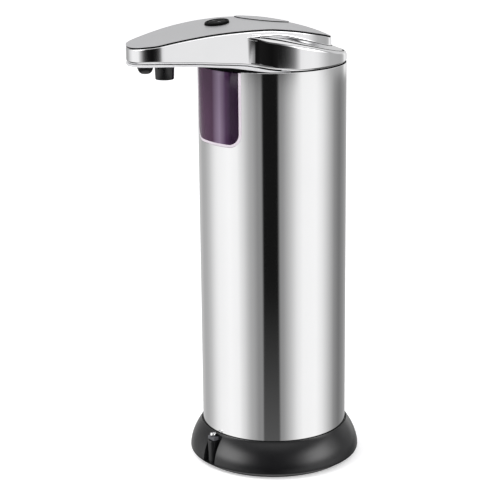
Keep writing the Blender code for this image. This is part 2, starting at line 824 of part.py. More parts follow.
def make_window(tint):
    """The flush pane, with a wider flange that lies behind the tube's wall."""
    low = WINDOW_BOTTOM - OVERRUN
    high = TUBE_TOP - GAP
    seat = TUBE_BORE - GAP
    over = high + OVERRUN
    pane = hoop("sensor_window", seat - LAP, TUBE_RADIUS, low, over, tint)
    shape = upright_slot(
        "shape", WINDOW_HALF_WIDTH - GAP, WINDOW_BOTTOM + GAP, over + OVERRUN,
        WINDOW_CORNER - GAP, tint,
    )
    keep(pane, shape)
    flange = hoop("flange", seat - WINDOW_FLANGE_WALL, seat, low, over + OVERRUN, tint)
    margin = WINDOW_FLANGE_MARGIN
    wider = upright_slot(
        "wider", WINDOW_HALF_WIDTH + margin, WINDOW_BOTTOM - margin, over + 2 * OVERRUN,
        WINDOW_CORNER + margin, tint,
    )
    keep(flange, wider)
    join(pane, flange)
    cut(pane, disc("trim", TUBE_RADIUS + OVERRUN, high, over + 3 * OVERRUN, tint))


def base_profile():
    """Half section of the base, from its underside out, up, in and down the bore."""
    rim = TUBE_RADIUS + BASE_RIM_WALL
    top = TUBE_BOTTOM - BASE_RIM_DROP
    points = [(FOOT_INNER_RADIUS, BASE_BOTTOM)]
    for k in range(5):
        turn = math.pi / 2 * k / 4
        radius = BASE_FOOT_RADIUS + (BASE_RADIUS - BASE_FOOT_RADIUS) * math.sin(turn)
        height = BASE_BULGE_HEIGHT - (BASE_BULGE_HEIGHT - BASE_BOTTOM) * math.cos(turn)
        points.append((radius, height))
    for k in range(1, 6):
        share = k / 5
        height = BASE_BULGE_HEIGHT + (top - BASE_BULGE_HEIGHT) * share
        points.append((BASE_RADIUS - (BASE_RADIUS - rim) * share**BASE_SLOPE_POWER, height))
    return points + [
        (rim - GASKET_RIM_GAP, top),
        (rim - GASKET_RIM_GAP, GASKET_SEAT),
        (SLEEVE_RADIUS, GASKET_SEAT),
        (SLEEVE_RADIUS, SLEEVE_TOP),
        (BASE_BORE, SLEEVE_TOP),
        (BASE_BORE, DOOR_FLANGE_TOP),
        (DOOR_RADIUS + GAP, DOOR_FLANGE_TOP),
        (DOOR_RADIUS + GAP, BASE_BOTTOM),
    ]


def make_base(plastic, rubber, chrome):
    base = turned("base_ring", base_profile(), plastic, looped=True)
    side = NOTCH_HALF_WIDTH
    front = -BASE_RADIUS - OVERRUN
    notch = box(
        "notch", (-side, side), (front, -NOTCH_DEPTH_RADIUS), (NOTCH_FLOOR, TUBE_BOTTOM), plastic
    )
    cut(base, notch)
    place = (0.0, -BOSS_REACH)
    mid_base = (BASE_BOTTOM + NOTCH_FLOOR) / 2
    join(base, disc("boss", BOSS_RADIUS, mid_base, BOSS_TOP, plastic, FINE_STEPS, place))
    side = TAB_HALF_WIDTH + GAP
    back = -BASE_BORE + OVERRUN
    tab_slot = box("tab_slot", (-side, side), (front, back), (BOSS_TOP, SLEEVE_TOP + OVERRUN), plastic)
    shank_hole = disc(
        "shank_hole", SCREW_SHANK_RADIUS + GAP, SCREW_BOTTOM - GAP, TUBE_BOTTOM, plastic,
        FINE_STEPS, place,
    )
    cut(base, tab_slot, shank_hole)
    for k in range(LUG_COUNT):
        middle = LUG_START_ANGLE + DOOR_TURN + 2 * math.pi * k / LUG_COUNT
        outline = sector(
            DOOR_RADIUS - GAP, LUG_RADIUS + GAP, middle, LUG_HALF_ANGLE + LUG_SLOT_MARGIN, 4
        )
        high = DOOR_FLANGE_TOP + OVERRUN
        cut(base, prism("lug_slot", outline, BASE_BOTTOM - OVERRUN, high, plastic))
    hoop("foot_ring", FOOT_INNER_RADIUS, FOOT_OUTER_RADIUS, 0.0, FOOT_HEIGHT, rubber)
    low = GASKET_TOP - GASKET_HEIGHT
    hoop("base_gasket", SLEEVE_RADIUS + GAP, GASKET_RADIUS, low, GASKET_TOP, rubber)
    make_base_screw(chrome, place)


def make_base_screw(chrome, place):
    """A cross-recess screw that clamps the chassis tab to the boss."""
    seat = BOSS_TOP + GAP + TAB_THICKNESS + GAP
    top = seat + SCREW_HEAD_HEIGHT
    profile = [
        (SCREW_SHANK_RADIUS, SCREW_BOTTOM), (SCREW_SHANK_RADIUS, seat),
        (SCREW_HEAD_RADIUS, seat), (SCREW_HEAD_RADIUS, top),
    ]
    screw = turned("base_screw", profile, chrome, False, FINE_STEPS, place)
    long, short = SCREW_HEAD_RADIUS * 0.6, SCREW_RECESS_WIDTH / 2
    depth = (top - SCREW_RECESS_DEPTH, top + OVERRUN)
    for wide, deep in ((long, short), (short, long)):
        x_range = (-wide, wide)
        y_range = (place[1] - deep, place[1] + deep)
        cut(screw, box("recess", x_range, y_range, depth, chrome))


def make_door(plastic, rubber, copper):
    """The round battery door: a shallow cup with three lugs and two finger grips."""
    inner = DOOR_RADIUS - DOOR_LIP_WALL
    profile = [
        (DOOR_RADIUS, BASE_BOTTOM), (DOOR_RADIUS, DOOR_LIP_TOP),
        (inner, DOOR_LIP_TOP), (inner, DOOR_FLOOR_TOP),
    ]
    door = turned("battery_door", profile, plastic)
    for k in range(LUG_COUNT):
        middle = LUG_START_ANGLE + 2 * math.pi * k / LUG_COUNT
        outline = sector(inner + LAP, LUG_RADIUS, middle, LUG_HALF_ANGLE, 4)
        top = DOOR_LIP_TOP - LAP
        join(door, prism("lug", outline, DOOR_LIP_TOP - LUG_HEIGHT, top, plastic))
    for middle in (0.0, math.pi):
        outline = sector(
            GRIP_RADIUS - GRIP_WIDTH / 2, GRIP_RADIUS + GRIP_WIDTH / 2, middle, GRIP_HALF_ANGLE, 8
        )
        low = BASE_BOTTOM - OVERRUN
        cut(door, prism("grip", outline, low, BASE_BOTTOM + GRIP_DEPTH, plastic))
    pad = disc("door_pad", DOOR_PAD_RADIUS, 0.0, BASE_BOTTOM - GAP, rubber, SMALL_STEPS)
    seal = hoop(
        "door_seal", inner, DOOR_RADIUS - LAP, DOOR_LIP_TOP + GAP, DOOR_SEAL_TOP, rubber
    )
    cells = cell_places()
    low = DOOR_FLOOR_TOP + GAP
    high = low + CONTACT_THICKNESS
    left = bar_between(
        "door_contact_left", cells[0], cells[1], CONTACT_OVERHANG, CONTACT_WIDTH, low, high, copper
    )
    right = bar_between(
        "door_contact_right", cells[2], cells[3], CONTACT_OVERHANG, CONTACT_WIDTH, low, high, copper
    )
    for piece in (door, pad, seal, left, right):
        set_origin(piece, (0.0, 0.0, DOOR_FLANGE_TOP))


def make_cells(jacket):
    """Four cells, every second one upside down."""
    for number, place in enumerate(cell_places(), start=1):
        nub_up = number % 2 == 1
        body = CELL_LENGTH - CELL_NUB_HEIGHT
        if nub_up:
            shoulder = CELL_BOTTOM + body
            profile = [
                (CELL_RADIUS, CELL_BOTTOM), (CELL_RADIUS, shoulder),
                (CELL_NUB_RADIUS, shoulder), (CELL_NUB_RADIUS, CELL_TOP),
            ]
        else:
            shoulder = CELL_TOP - body
            profile = [
                (CELL_NUB_RADIUS, CELL_BOTTOM), (CELL_NUB_RADIUS, shoulder),
                (CELL_RADIUS, shoulder), (CELL_RADIUS, CELL_TOP),
            ]
        turned(f"battery_{number}", profile, jacket, False, SMALL_STEPS, place)


def make_chassis(plastic, copper):
    """The inner frame: a deck for the tank, a skirt, and a block with the cell bores."""
    skirt = CHASSIS_RADIUS - CHASSIS_SKIRT_WALL
    skirt_low = SLEEVE_TOP + GAP
    core = SPIGOT_RADIUS / 2
    profile = [
        (core, DECK_BOTTOM), (skirt, DECK_BOTTOM), (skirt, skirt_low),
        (CHASSIS_RADIUS, skirt_low), (CHASSIS_RADIUS, DECK_TOP), (core, DECK_TOP),
    ]
    chassis = turned("chassis", profile, plastic)
    inner = CELL_RING_RADIUS - CELL_RADIUS - GAP - BLOCK_WALL
    outline = sector(inner, BLOCK_OUTER_RADIUS, math.pi / 2, BLOCK_END_ANGLE, 18)
    block = prism("block", outline, BLOCK_BOTTOM, DECK_BOTTOM + CHASSIS_LAP, plastic)
    ring_inner = CHASSIS_RING_RADIUS - CHASSIS_RING_WALL
    ring_low = DOOR_SEAL_TOP + GAP
    hoop_body = hoop(
        "hoop", ring_inner, CHASSIS_RING_RADIUS, BLOCK_BOTTOM + CHASSIS_LAP,
        ring_low + CHASSIS_RING_HEIGHT, plastic,
    )
    seat = BOSS_TOP + GAP
    strut_front = -BASE_BORE + CHASSIS_LAP
    strut_back = strut_front + RIB_DEPTH
    strut_low = ring_low + CHASSIS_LAP
    strut_top = skirt_low + TAB_THICKNESS
    outline = [
        (strut_front, strut_low), (strut_back, strut_low), (strut_back, strut_top),
        (-RIB_OUTER, strut_top), (-RIB_OUTER, seat + TAB_THICKNESS),
        (-TAB_REACH, seat + TAB_THICKNESS), (-TAB_REACH, seat), (strut_front, seat),
    ]
    sides = (-TAB_HALF_WIDTH, TAB_HALF_WIDTH)
    strut = solid("strut", [[Vector((x, y, z)) for y, z in outline] for x in sides], plastic)
    join(chassis, block, hoop_body, strut)
    seal_room = hoop(
        "seal_room", ring_inner - GAP, BASE_BORE + OVERRUN, BLOCK_BOTTOM - OVERRUN, ring_low, plastic
    )
    shank_hole = disc(
        "shank_hole", SCREW_SHANK_RADIUS + GAP, seat - OVERRUN, seat + TAB_THICKNESS + OVERRUN,
        plastic, FINE_STEPS, (0.0, -BOSS_REACH),
    )
    cut(chassis, seal_room, shank_hole)
    for place in cell_places():
        radius = CELL_RADIUS + GAP
        low = BLOCK_BOTTOM - OVERRUN
        cut(chassis, disc("bore", radius, low, CELL_BORE_TOP, plastic, SMALL_STEPS, place))
    cells = cell_places()
    slot = bar_between(
        "slot", cells[1], cells[2], CONTACT_OVERHANG + GAP, CONTACT_WIDTH + GAP + GAP,
        TOP_CONTACT - GAP, CELL_BORE_TOP - LAP, plastic,
    )
    low, high = DECK_BOTTOM - OVERRUN, DECK_TOP + OVERRUN
    room = HOSE_RADIUS + GAP + LEAD_HOLE_MARGIN
    hose_hole = disc("hose_hole", room, low, high, plastic, FINE_STEPS, (0.0, -HOSE_CHANNEL))
    room = LEAD_RADIUS + LEAD_HOLE_MARGIN
    lead_hole = disc("lead_hole", room, low, high, plastic, FINE_STEPS, (LEAD_X, LEAD_Y))
    seal_hole = disc(
        "seal_hole", INLET_SEAL_RADIUS + GAP, low, high, plastic, SMALL_STEPS, (0.0, INLET_Y)
    )
    cut(chassis, slot, hose_hole, lead_hole, seal_hole)
    top = TOP_CONTACT + CONTACT_THICKNESS
    bar_between(
        "contact_bridge", cells[1], cells[2], CONTACT_OVERHANG, CONTACT_WIDTH, TOP_CONTACT, top, copper
    )
    for name, place in (("contact_negative", cells[0]), ("contact_positive", cells[3])):
        radius = CELL_RADIUS - LAP
        disc(name, radius, TOP_CONTACT, top, copper, SMALL_STEPS, place)


def gear_outline(radius_turn, centre):
    """Spur gear teeth with involute flanks, thinned for running room."""

    def involute(radius):
        pressure = math.acos(min(base / radius, 1.0))
        return math.tan(pressure) - pressure

    base = GEAR_PITCH_RADIUS * math.cos(GEAR_PRESSURE_ANGLE)
    at_pitch = math.pi / (2 * GEAR_TEETH) - GEAR_BACKLASH / (2 * GEAR_PITCH_RADIUS)
    widest = at_pitch + involute(GEAR_PITCH_RADIUS)
    radii = [GEAR_ROOT_RADIUS, base, (base + GEAR_TIP_RADIUS) / 2, GEAR_TIP_RADIUS]
    points = []
    for k in range(GEAR_TEETH):
        middle = radius_turn + 2 * math.pi * k / GEAR_TEETH
        rising = [(radius, middle - widest + involute(radius)) for radius in radii]
        falling = [(radius, middle + widest - involute(radius)) for radius in radii[::-1]]
        valley = [(GEAR_ROOT_RADIUS, middle + math.pi / GEAR_TEETH)]
        for radius, angle in rising + falling + valley:
            points.append(
                (centre[0] + radius * math.cos(angle), centre[1] + radius * math.sin(angle))
            )
    return points


def make_pump(plastic, nylon, steel):
    """A gear pump: housing, cover, two meshed gears and the idler's pin."""
    drive = (MOTOR_X, PUMP_Y)
    idle = (GEAR_PITCH_RADIUS, PUMP_Y)
    long, wide = PUMP_HALF_LENGTH, PUMP_HALF_WIDTH
    x_range, y_range = (-long, long), (PUMP_Y - wide, PUMP_Y + wide)
    housing = box("pump_housing", x_range, y_range, (HOUSING_BOTTOM, HOUSING_TOP), plastic)
    barb_start = (0.0, OUTLET_Y, OUTLET_Z)
    barb_end = (0.0, BARB_END_Y, OUTLET_Z)
    barb_root = (0.0, PUMP_Y - wide + LAP, OUTLET_Z)
    join(housing, rod("barb", barb_root, barb_end, BARB_RADIUS, plastic))
    top = HOUSING_TOP + OVERRUN
    for centre in (drive, idle):
        cut(housing, disc("bore", PUMP_BORE, CAVITY_BOTTOM, top, plastic, SMALL_STEPS, centre))
    pocket = PORT_RADIUS + GAP
    for y in (INLET_Y, OUTLET_Y):
        low = CAVITY_BOTTOM + LAP
        cut(housing, disc("pocket", pocket, low, top, plastic, FINE_STEPS, (0.0, y)))
    beyond = (0.0, BARB_END_Y - OVERRUN, OUTLET_Z)
    outlet = rod("outlet", barb_start, beyond, BARB_BORE, plastic, FINE_STEPS)
    shaft_hole = disc(
        "shaft_hole", SHAFT_RADIUS + RUNNING_GAP, HOUSING_BOTTOM - OVERRUN, top, plastic,
        SMALL_STEPS, drive,
    )
    pin_depth = CAVITY_BOTTOM - PUMP_FLOOR / 2
    pin_hole = disc("pin_hole", SHAFT_RADIUS + GAP, pin_depth - GAP, top, plastic, SMALL_STEPS, idle)
    cut(housing, outlet, shaft_hole, pin_hole)

    cover = box("pump_cover", x_range, y_range, (COVER_BOTTOM, COVER_TOP), plastic)
    port = (0.0, INLET_Y)
    low = COVER_TOP - LAP
    join(cover, disc("spigot", SPIGOT_RADIUS, low, SPIGOT_TOP, plastic, SMALL_STEPS, port))
    inlet = disc(
        "inlet", PORT_RADIUS, COVER_BOTTOM - OVERRUN, SPIGOT_TOP + OVERRUN, plastic, FINE_STEPS, port
    )
    cut(cover, inlet)

    low, high = CAVITY_BOTTOM + GAP / 2, CAVITY_BOTTOM + GAP / 2 + GEAR_HEIGHT
    gear = prism("drive_gear", gear_outline(0.0, drive), low, high, nylon)
    bore = (low - OVERRUN, high + OVERRUN)
    cut(gear, disc("bore", SHAFT_RADIUS + GAP, *bore, nylon, SMALL_STEPS, drive))
    idler = prism("idler_gear", gear_outline(math.pi / GEAR_TEETH, idle), low, high, nylon)
    cut(idler, disc("bore", SHAFT_RADIUS + RUNNING_GAP, *bore, nylon, SMALL_STEPS, idle))
    disc("idler_pin", SHAFT_RADIUS, pin_depth, high, steel, SMALL_STEPS, idle)
    shaft = disc(
        "motor_shaft", SHAFT_RADIUS, MOTOR_BOTTOM + LAP, high, steel, SMALL_STEPS, drive
    )
    set_origin(gear, (*drive, low))
    set_origin(shaft, (*drive, low))
    set_origin(idler, (*idle, low))


def make_motor(steel, plastic):
    place = (MOTOR_X, PUMP_Y)
    neck = MOTOR_TOP - MOTOR_BOSS_HEIGHT
    profile = [
        (MOTOR_RADIUS, MOTOR_BOTTOM), (MOTOR_RADIUS, neck),
        (MOTOR_BOSS_RADIUS, neck), (MOTOR_BOSS_RADIUS, MOTOR_TOP),
        (SHAFT_RADIUS + RUNNING_GAP, MOTOR_TOP), (SHAFT_RADIUS + RUNNING_GAP, MOTOR_BOTTOM),
    ]
    turned("motor_can", profile, steel, True, SMALL_STEPS, place)
    top = MOTOR_BOTTOM - GAP
    disc("motor_end_cap", MOTOR_CAP_RADIUS, MOTOR_CAP_BOTTOM, top, plastic, SMALL_STEPS, place)


def make_tank(clear, plastic, rubber):
    """The soap tank with its gasket, cover, inlet strainer and seal."""
    outer, inner = tank_outline(), tank_outline(TANK_WALL)
    floor = TANK_BOTTOM + TANK_FLOOR
    tank = prism("reservoir", outer, TANK_BOTTOM, TANK_TOP, clear)
    cut(tank, prism("inside", inner, floor, TANK_TOP + OVERRUN, clear))
    port = (0.0, INLET_Y)
    hole = disc(
        "hole", SPIGOT_RADIUS + GAP, TANK_BOTTOM - OVERRUN, floor + OVERRUN, clear, SMALL_STEPS, port
    )
    cut(tank, hole)

    low = TANK_TOP + GAP
    high = low + TANK_GASKET_HEIGHT
    lip_inset = TANK_WALL + GAP
    lip = tank_outline(lip_inset)
    lip_inner = tank_outline(lip_inset + TANK_WALL)
    rings = [ring(lip, low), ring(outer, low), ring(outer, high), ring(lip, high)]
    gasket_inner = tank_outline(lip_inset - GAP)
    rings = [ring(gasket_inner, low), ring(outer, low), ring(outer, high), ring(gasket_inner, high)]
    solid("tank_gasket", rings, rubber, looped=True)

    cover = prism("tank_cover", outer, TANK_COVER_BOTTOM, TANK_COVER_TOP, plastic)
    lip_low = TANK_TOP - TANK_LIP_DEPTH
    lip_high = TANK_COVER_BOTTOM + TANK_COVER_HEIGHT / 2
    rings = [ring(lip_inner, lip_low), ring(lip, lip_low), ring(lip, lip_high), ring(lip_inner, lip_high)]
    join(cover, solid("lip", rings, plastic, looped=True))
    place = (0.0, LID_Y)
    collar_inner = NECK_RADIUS + GAP
    collar = hoop(
        "collar", collar_inner, collar_inner + NECK_COLLAR_WALL,
        TANK_COVER_TOP - LAP, TANK_COVER_TOP + NECK_COLLAR_HEIGHT, plastic, 36, place,
    )
    way = disc(
        "way", NECK_BORE, TANK_COVER_BOTTOM - OVERRUN, TANK_COVER_TOP + OVERRUN, plastic, 36, place
    )
    join(cover, collar)
    cut(cover, way)

    seal_inner = SPIGOT_RADIUS + GAP
    high = DECK_TOP
    hoop(
        "inlet_seal", seal_inner, INLET_SEAL_RADIUS, high - INLET_SEAL_HEIGHT, high, rubber,
        SMALL_STEPS, port,
    )
    low = floor + GAP
    high = low + STRAINER_HEIGHT
    radius = seal_inner + STRAINER_WALL
    profile = [
        (radius, low), (radius, high), (PORT_RADIUS, high), (PORT_RADIUS, high - STRAINER_WALL),
        (seal_inner, high - STRAINER_WALL), (seal_inner, low),
    ]
    strainer = turned("inlet_strainer", profile, plastic, True, SMALL_STEPS, port)
    level = low + STRAINER_HEIGHT * 0.6
    for along in (Vector((radius + OVERRUN, 0.0, 0.0)), Vector((0.0, radius + OVERRUN, 0.0))):
        middle = Vector((0.0, INLET_Y, level))
        cut(strainer, rod("window", middle - along, middle + along, STRAINER_WALL, plastic, FINE_STEPS))


def make_neck(clear, rubber):
    """The filler neck, from the tank cover up to the underside of the panel."""
    place = (0.0, LID_Y)
    inner, outer = circle(NECK_BORE, 36, place), circle(NECK_RADIUS, 36, place)
    low = NECK_SEAL_TOP + GAP
    high = shifted(panel_height, -PANEL_THICKNESS - GAP)
    rings = [ring(inner, low), ring(outer, low), ring(outer, high), ring(inner, high)]
    solid("filler_neck", rings, clear, looped=True)
    low = TANK_COVER_TOP + GAP
    hoop("neck_seal", NECK_BORE, NECK_RADIUS, low, NECK_SEAL_TOP, rubber, 36, place)


def make_head_shell(chrome):
    """Chrome collar and arm in one, hollow, open below and above."""
    top = shifted(seam_height, -GAP / 2)
    shell = arm_body("head_shell", 0.0, shifted(shell_bottom, -2 * OVERRUN), top, chrome)
    join(shell, collar_body("collar", 0.0, 0.0, shifted(shell_bottom, -OVERRUN), chrome))
    side = TUBE_RADIUS + OVERRUN
    rows = [
        (side, side - (side + ARM_REACH + OVERRUN) * k / TRIM_ROWS) for k in range(TRIM_ROWS + 1)
    ]
    trim = mirrored([(0.0, rows[0][1])] + rows + [(0.0, rows[-1][1])])
    deep = shifted(shell_bottom, -3 * OVERRUN)
    rings = [ring(spine(trim), deep), ring(trim, deep), ring(trim, shell_bottom)]
    rings.append(ring(spine(trim), shell_bottom))
    cut(shell, spined_solid("trim", rings, chrome))
    below = shifted(shell_bottom, -OVERRUN)
    cut(shell, collar_body("collar_room", SHELL_WALL, SHELL_WALL, below, chrome))
    above = shifted(seam_height, OVERRUN)
    cut(shell, arm_body("arm_room", SHELL_WALL, below, above, chrome))
    for side in (-1.0, 1.0):
        place = (side * HEAD_SCREW_X, HEAD_SCREW_Y)
        deck = rim_height(*place)
        low = PLATE_BOTTOM + PLATE_RING_HEIGHT + GAP
        join(shell, disc("boss", HEAD_SCREW_BOSS, low, deck - SHELL_WALL / 2, chrome, FINE_STEPS, place))
        high = deck - SHELL_WALL
        radius = HEAD_SCREW_SHANK + GAP
        cut(shell, disc("hole", radius, low - OVERRUN, high, chrome, FINE_STEPS, place))
    split_flat(shell)


def make_top_panel(satin):
    """The crowned cover of the head, with the lid's seat and the button hole."""
    edge = arm_outline()
    under_edge = shifted(seam_height, GAP / 2)
    rib_low = shifted(seam_height, -PANEL_RIB_DEPTH)
    ceiling = shifted(panel_height, -PANEL_THICKNESS)
    rib_outer = arm_outline(SHELL_WALL + GAP)
    rib_inner = arm_outline(SHELL_WALL + GAP + PANEL_RIB_WALL)
    rings = [ring(spine(rib_inner), ceiling)]
    for share in CROWN_RING_SHARES[::-1]:
        narrowed = [(x * (1 - share), y) for x, y in rib_inner]
        rings.append(ring(narrowed, ceiling))
    rings += [
        ring(rib_inner, ceiling),
        ring(rib_inner, rib_low),
        ring(rib_outer, rib_low),
        ring(rib_outer, under_edge),
        ring(edge, under_edge),
        ring(edge, shifted(seam_height, GAP / 2 + PANEL_EDGE)),
    ]
    for share in CROWN_RING_SHARES:
        narrowed = [(x * (1 - share), y) for x, y in edge]
        rings.append(ring(narrowed, panel_height))
    rings.append(ring(spine(edge), panel_height))
    panel = spined_solid("top_panel", rings, satin)
    board_top = button_board_top()
    for side in (-1.0, 1.0):
        place = (side * BOARD_POST_X, BOARD_POST_Y)
        high = panel_height(*place) - PANEL_THICKNESS / 2
        join(panel, disc("post", BOARD_POST_RADIUS, board_top + GAP, high, satin, FINE_STEPS, place))
    seat = -LID_SINK - GAP
    cut(
        panel,
        scoop("scoop", satin),
        patch("lid_seat", LID_Y, 0.0, LID_RADIUS + GAP, seat, OVERRUN, satin),
        patch("filler_hole", LID_Y, 0.0, NECK_BORE, -PANEL_THICKNESS - OVERRUN, OVERRUN, satin),
        patch("bezel_seat", BUTTON_Y, 0.0, BEZEL_RADIUS + GAP, -BEZEL_SINK - GAP, OVERRUN, satin),
        patch(
            "button_hole", BUTTON_Y, 0.0, BEZEL_RADIUS - BEZEL_WIDTH,
            -PANEL_THICKNESS - OVERRUN, OVERRUN, satin,
        ),
    )
    split_flat(panel)


def make_lid(satin, rubber):
    """The filler lid, the plug under it and the seal round the plug."""
    lid = patch("filler_lid", LID_Y, 0.0, LID_RADIUS, -LID_SINK, LID_RAISE, satin)
    plug = patch("lid_plug", LID_Y, 0.0, PLUG_RADIUS, -PLUG_DEPTH, -LID_SINK - GAP, rubber)
    inner = PLUG_RADIUS + GAP
    seal = patch(
        "lid_seal", LID_Y, inner, inner + LID_SEAL_WIDTH, -LID_SEAL_BOTTOM, -LID_SEAL_TOP, rubber
    )
    for piece in (lid, plug, seal):
        set_origin(piece, (0.0, LID_Y, panel_height(0.0, LID_Y)))


def button_board_top():
    """The switch board lies below the keys by the switches and the keys' travel."""
    keys = panel_height(0.0, BUTTON_Y - BEZEL_RADIUS) - BUTTON_LENGTH
    return keys - BUTTON_TRAVEL - GAP - SWITCH_HEIGHT - GAP


def make_buttons(black, board_green):
    """Two half-round keys in a bezel, over two switches on a board."""
    inner = BEZEL_RADIUS - BEZEL_WIDTH
    patch("button_bezel", BUTTON_Y, inner, BEZEL_RADIUS, -BEZEL_SINK, BEZEL_RAISE, black)
    top = button_board_top()
    y_range = (-BUTTON_BOARD_FRONT, -BUTTON_BOARD_BACK)
    wide = BUTTON_BOARD_HALF_WIDTH
    box("button_board", (-wide, wide), y_range, (top - BOARD_THICKNESS, top), board_green)
    for name, side in (("minus", -1.0), ("plus", 1.0)):
        radius = inner - GAP
        key = patch(
            f"{name}_button", BUTTON_Y, 0.0, radius, -BUTTON_LENGTH, BUTTON_RAISE, black
        )
        far = -side * BEZEL_RADIUS
        near = side * BUTTON_SPLIT / 2
        x_range = (min(far, near), max(far, near))
        half = box(
            "half", x_range, (BUTTON_Y - BEZEL_RADIUS, BUTTON_Y + BEZEL_RADIUS),
            (top, top + HEAD_RISE), black,
        )
        cut(key, half)
        set_origin(key, (side * inner / 2, BUTTON_Y, panel_height(0.0, BUTTON_Y)))
        middle = side * SWITCH_SPACING / 2
        half_size = SWITCH_SIZE / 2
        x_range = (middle - half_size, middle + half_size)
        y_range = (BUTTON_Y - half_size, BUTTON_Y + half_size)
        low = top + GAP
        box(f"{name}_switch", x_range, y_range, (low, low + SWITCH_HEIGHT), black)


def make_underplate(pale):
    """The pale plate under the arm, with a ring and a spigot inside the tube."""
    plate = outline_body("arm_underplate", head_outline(), underside_height, plate_top, pale)
    back = (BAND_END, TUBE_RADIUS + OVERRUN)
    sides = (-TUBE_RADIUS - OVERRUN, TUBE_RADIUS + OVERRUN)
    cut(plate, box("back", sides, back, (TUBE_TOP - OVERRUN, TUBE_TOP + HEAD_RISE), pale))
    ring_outer = PLATE_BORE + PLATE_RING_WALL
    ring_top = PLATE_BOTTOM + PLATE_RING_HEIGHT
    rib_outer = PLATE_BORE + PLATE_RIB_WALL
    ledge = PLATE_BOTTOM + PLATE_LEDGE_HEIGHT
    profile = [
        (PLATE_BORE, PLATE_BOTTOM), (ring_outer, PLATE_BOTTOM), (ring_outer, ledge),
        (rib_outer, ledge), (rib_outer, ring_top), (PLATE_BORE, ring_top),
    ]
    join(plate, turned("ring", profile, pale, looped=True))
    spigot_outer = TUBE_BORE - PLATE_SPIGOT_GAP
    spigot_inner = spigot_outer - PLATE_SPIGOT_WALL
    low = TUBE_TOP - PLATE_SPIGOT_DEPTH
    lap = PLATE_BOTTOM + PLATE_LEDGE_HEIGHT / 2
    profile = [
        (spigot_inner, low), (spigot_outer, low), (spigot_outer, TUBE_TOP - GAP / 2),
        (ring_outer - LAP, TUBE_TOP - GAP / 2), (ring_outer - LAP, lap),
        (spigot_inner, lap),
    ]
    spigot = turned("spigot", profile, pale, looped=True)
    half = WINDOW_HALF_WIDTH + WINDOW_FLANGE_MARGIN + PLATE_NOTCH_MARGIN
    notch = box(
        "notch", (-half, half), (-TUBE_RADIUS - OVERRUN, 0.0),
        (TUBE_TOP - PLATE_SPIGOT_DEPTH - OVERRUN, PLATE_BOTTOM + PLATE_RING_HEIGHT / 2), pale,
    )
    cut(spigot, notch)
    join(plate, spigot)
    bore = disc(
        "bore", PLATE_BORE, TUBE_TOP - OVERRUN, TUBE_TOP + HEAD_RISE, pale, WIDE_STEPS
    )
    cut(plate, bore)
    for side in (-1.0, 1.0):
        place = (side * HEAD_SCREW_X, HEAD_SCREW_Y)
        low, high = PLATE_BOTTOM + LAP, ring_top - LAP
        join(plate, disc("tab", HEAD_SCREW_TAB, low, high, pale, SMALL_STEPS, place))
        low, high = PLATE_BOTTOM - OVERRUN, ring_top + OVERRUN
        radius = HEAD_SCREW_SHANK + GAP
        cut(plate, disc("hole", radius, low, high, pale, FINE_STEPS, place))
    low, high = TUBE_TOP, TUBE_TOP + HEAD_RISE
    cut(plate, disc("outlet", NOZZLE_RADIUS + GAP, low, high, pale, SMALL_STEPS, (0.0, NOZZLE_Y)))
    cut(plate, disc("eye", BARREL_RADIUS + GAP, low, high, pale, SMALL_STEPS, (0.0, BARREL_Y)))
    split_flat(plate)


def make_head_screws(steel):
    for name, side in (("head_screw_left", -1.0), ("head_screw_right", 1.0)):
        place = (side * HEAD_SCREW_X, HEAD_SCREW_Y)
        seat = PLATE_BOTTOM - GAP
        tip = PLATE_BOTTOM + PLATE_RING_HEIGHT + HEAD_SCREW_GRIP
        profile = [
            (HEAD_SCREW_HEAD, seat - HEAD_SCREW_HEAD_HEIGHT), (HEAD_SCREW_HEAD, seat),
            (HEAD_SCREW_SHANK, seat), (HEAD_SCREW_SHANK, tip),
        ]
        turned(name, profile, steel, False, FINE_STEPS, place)


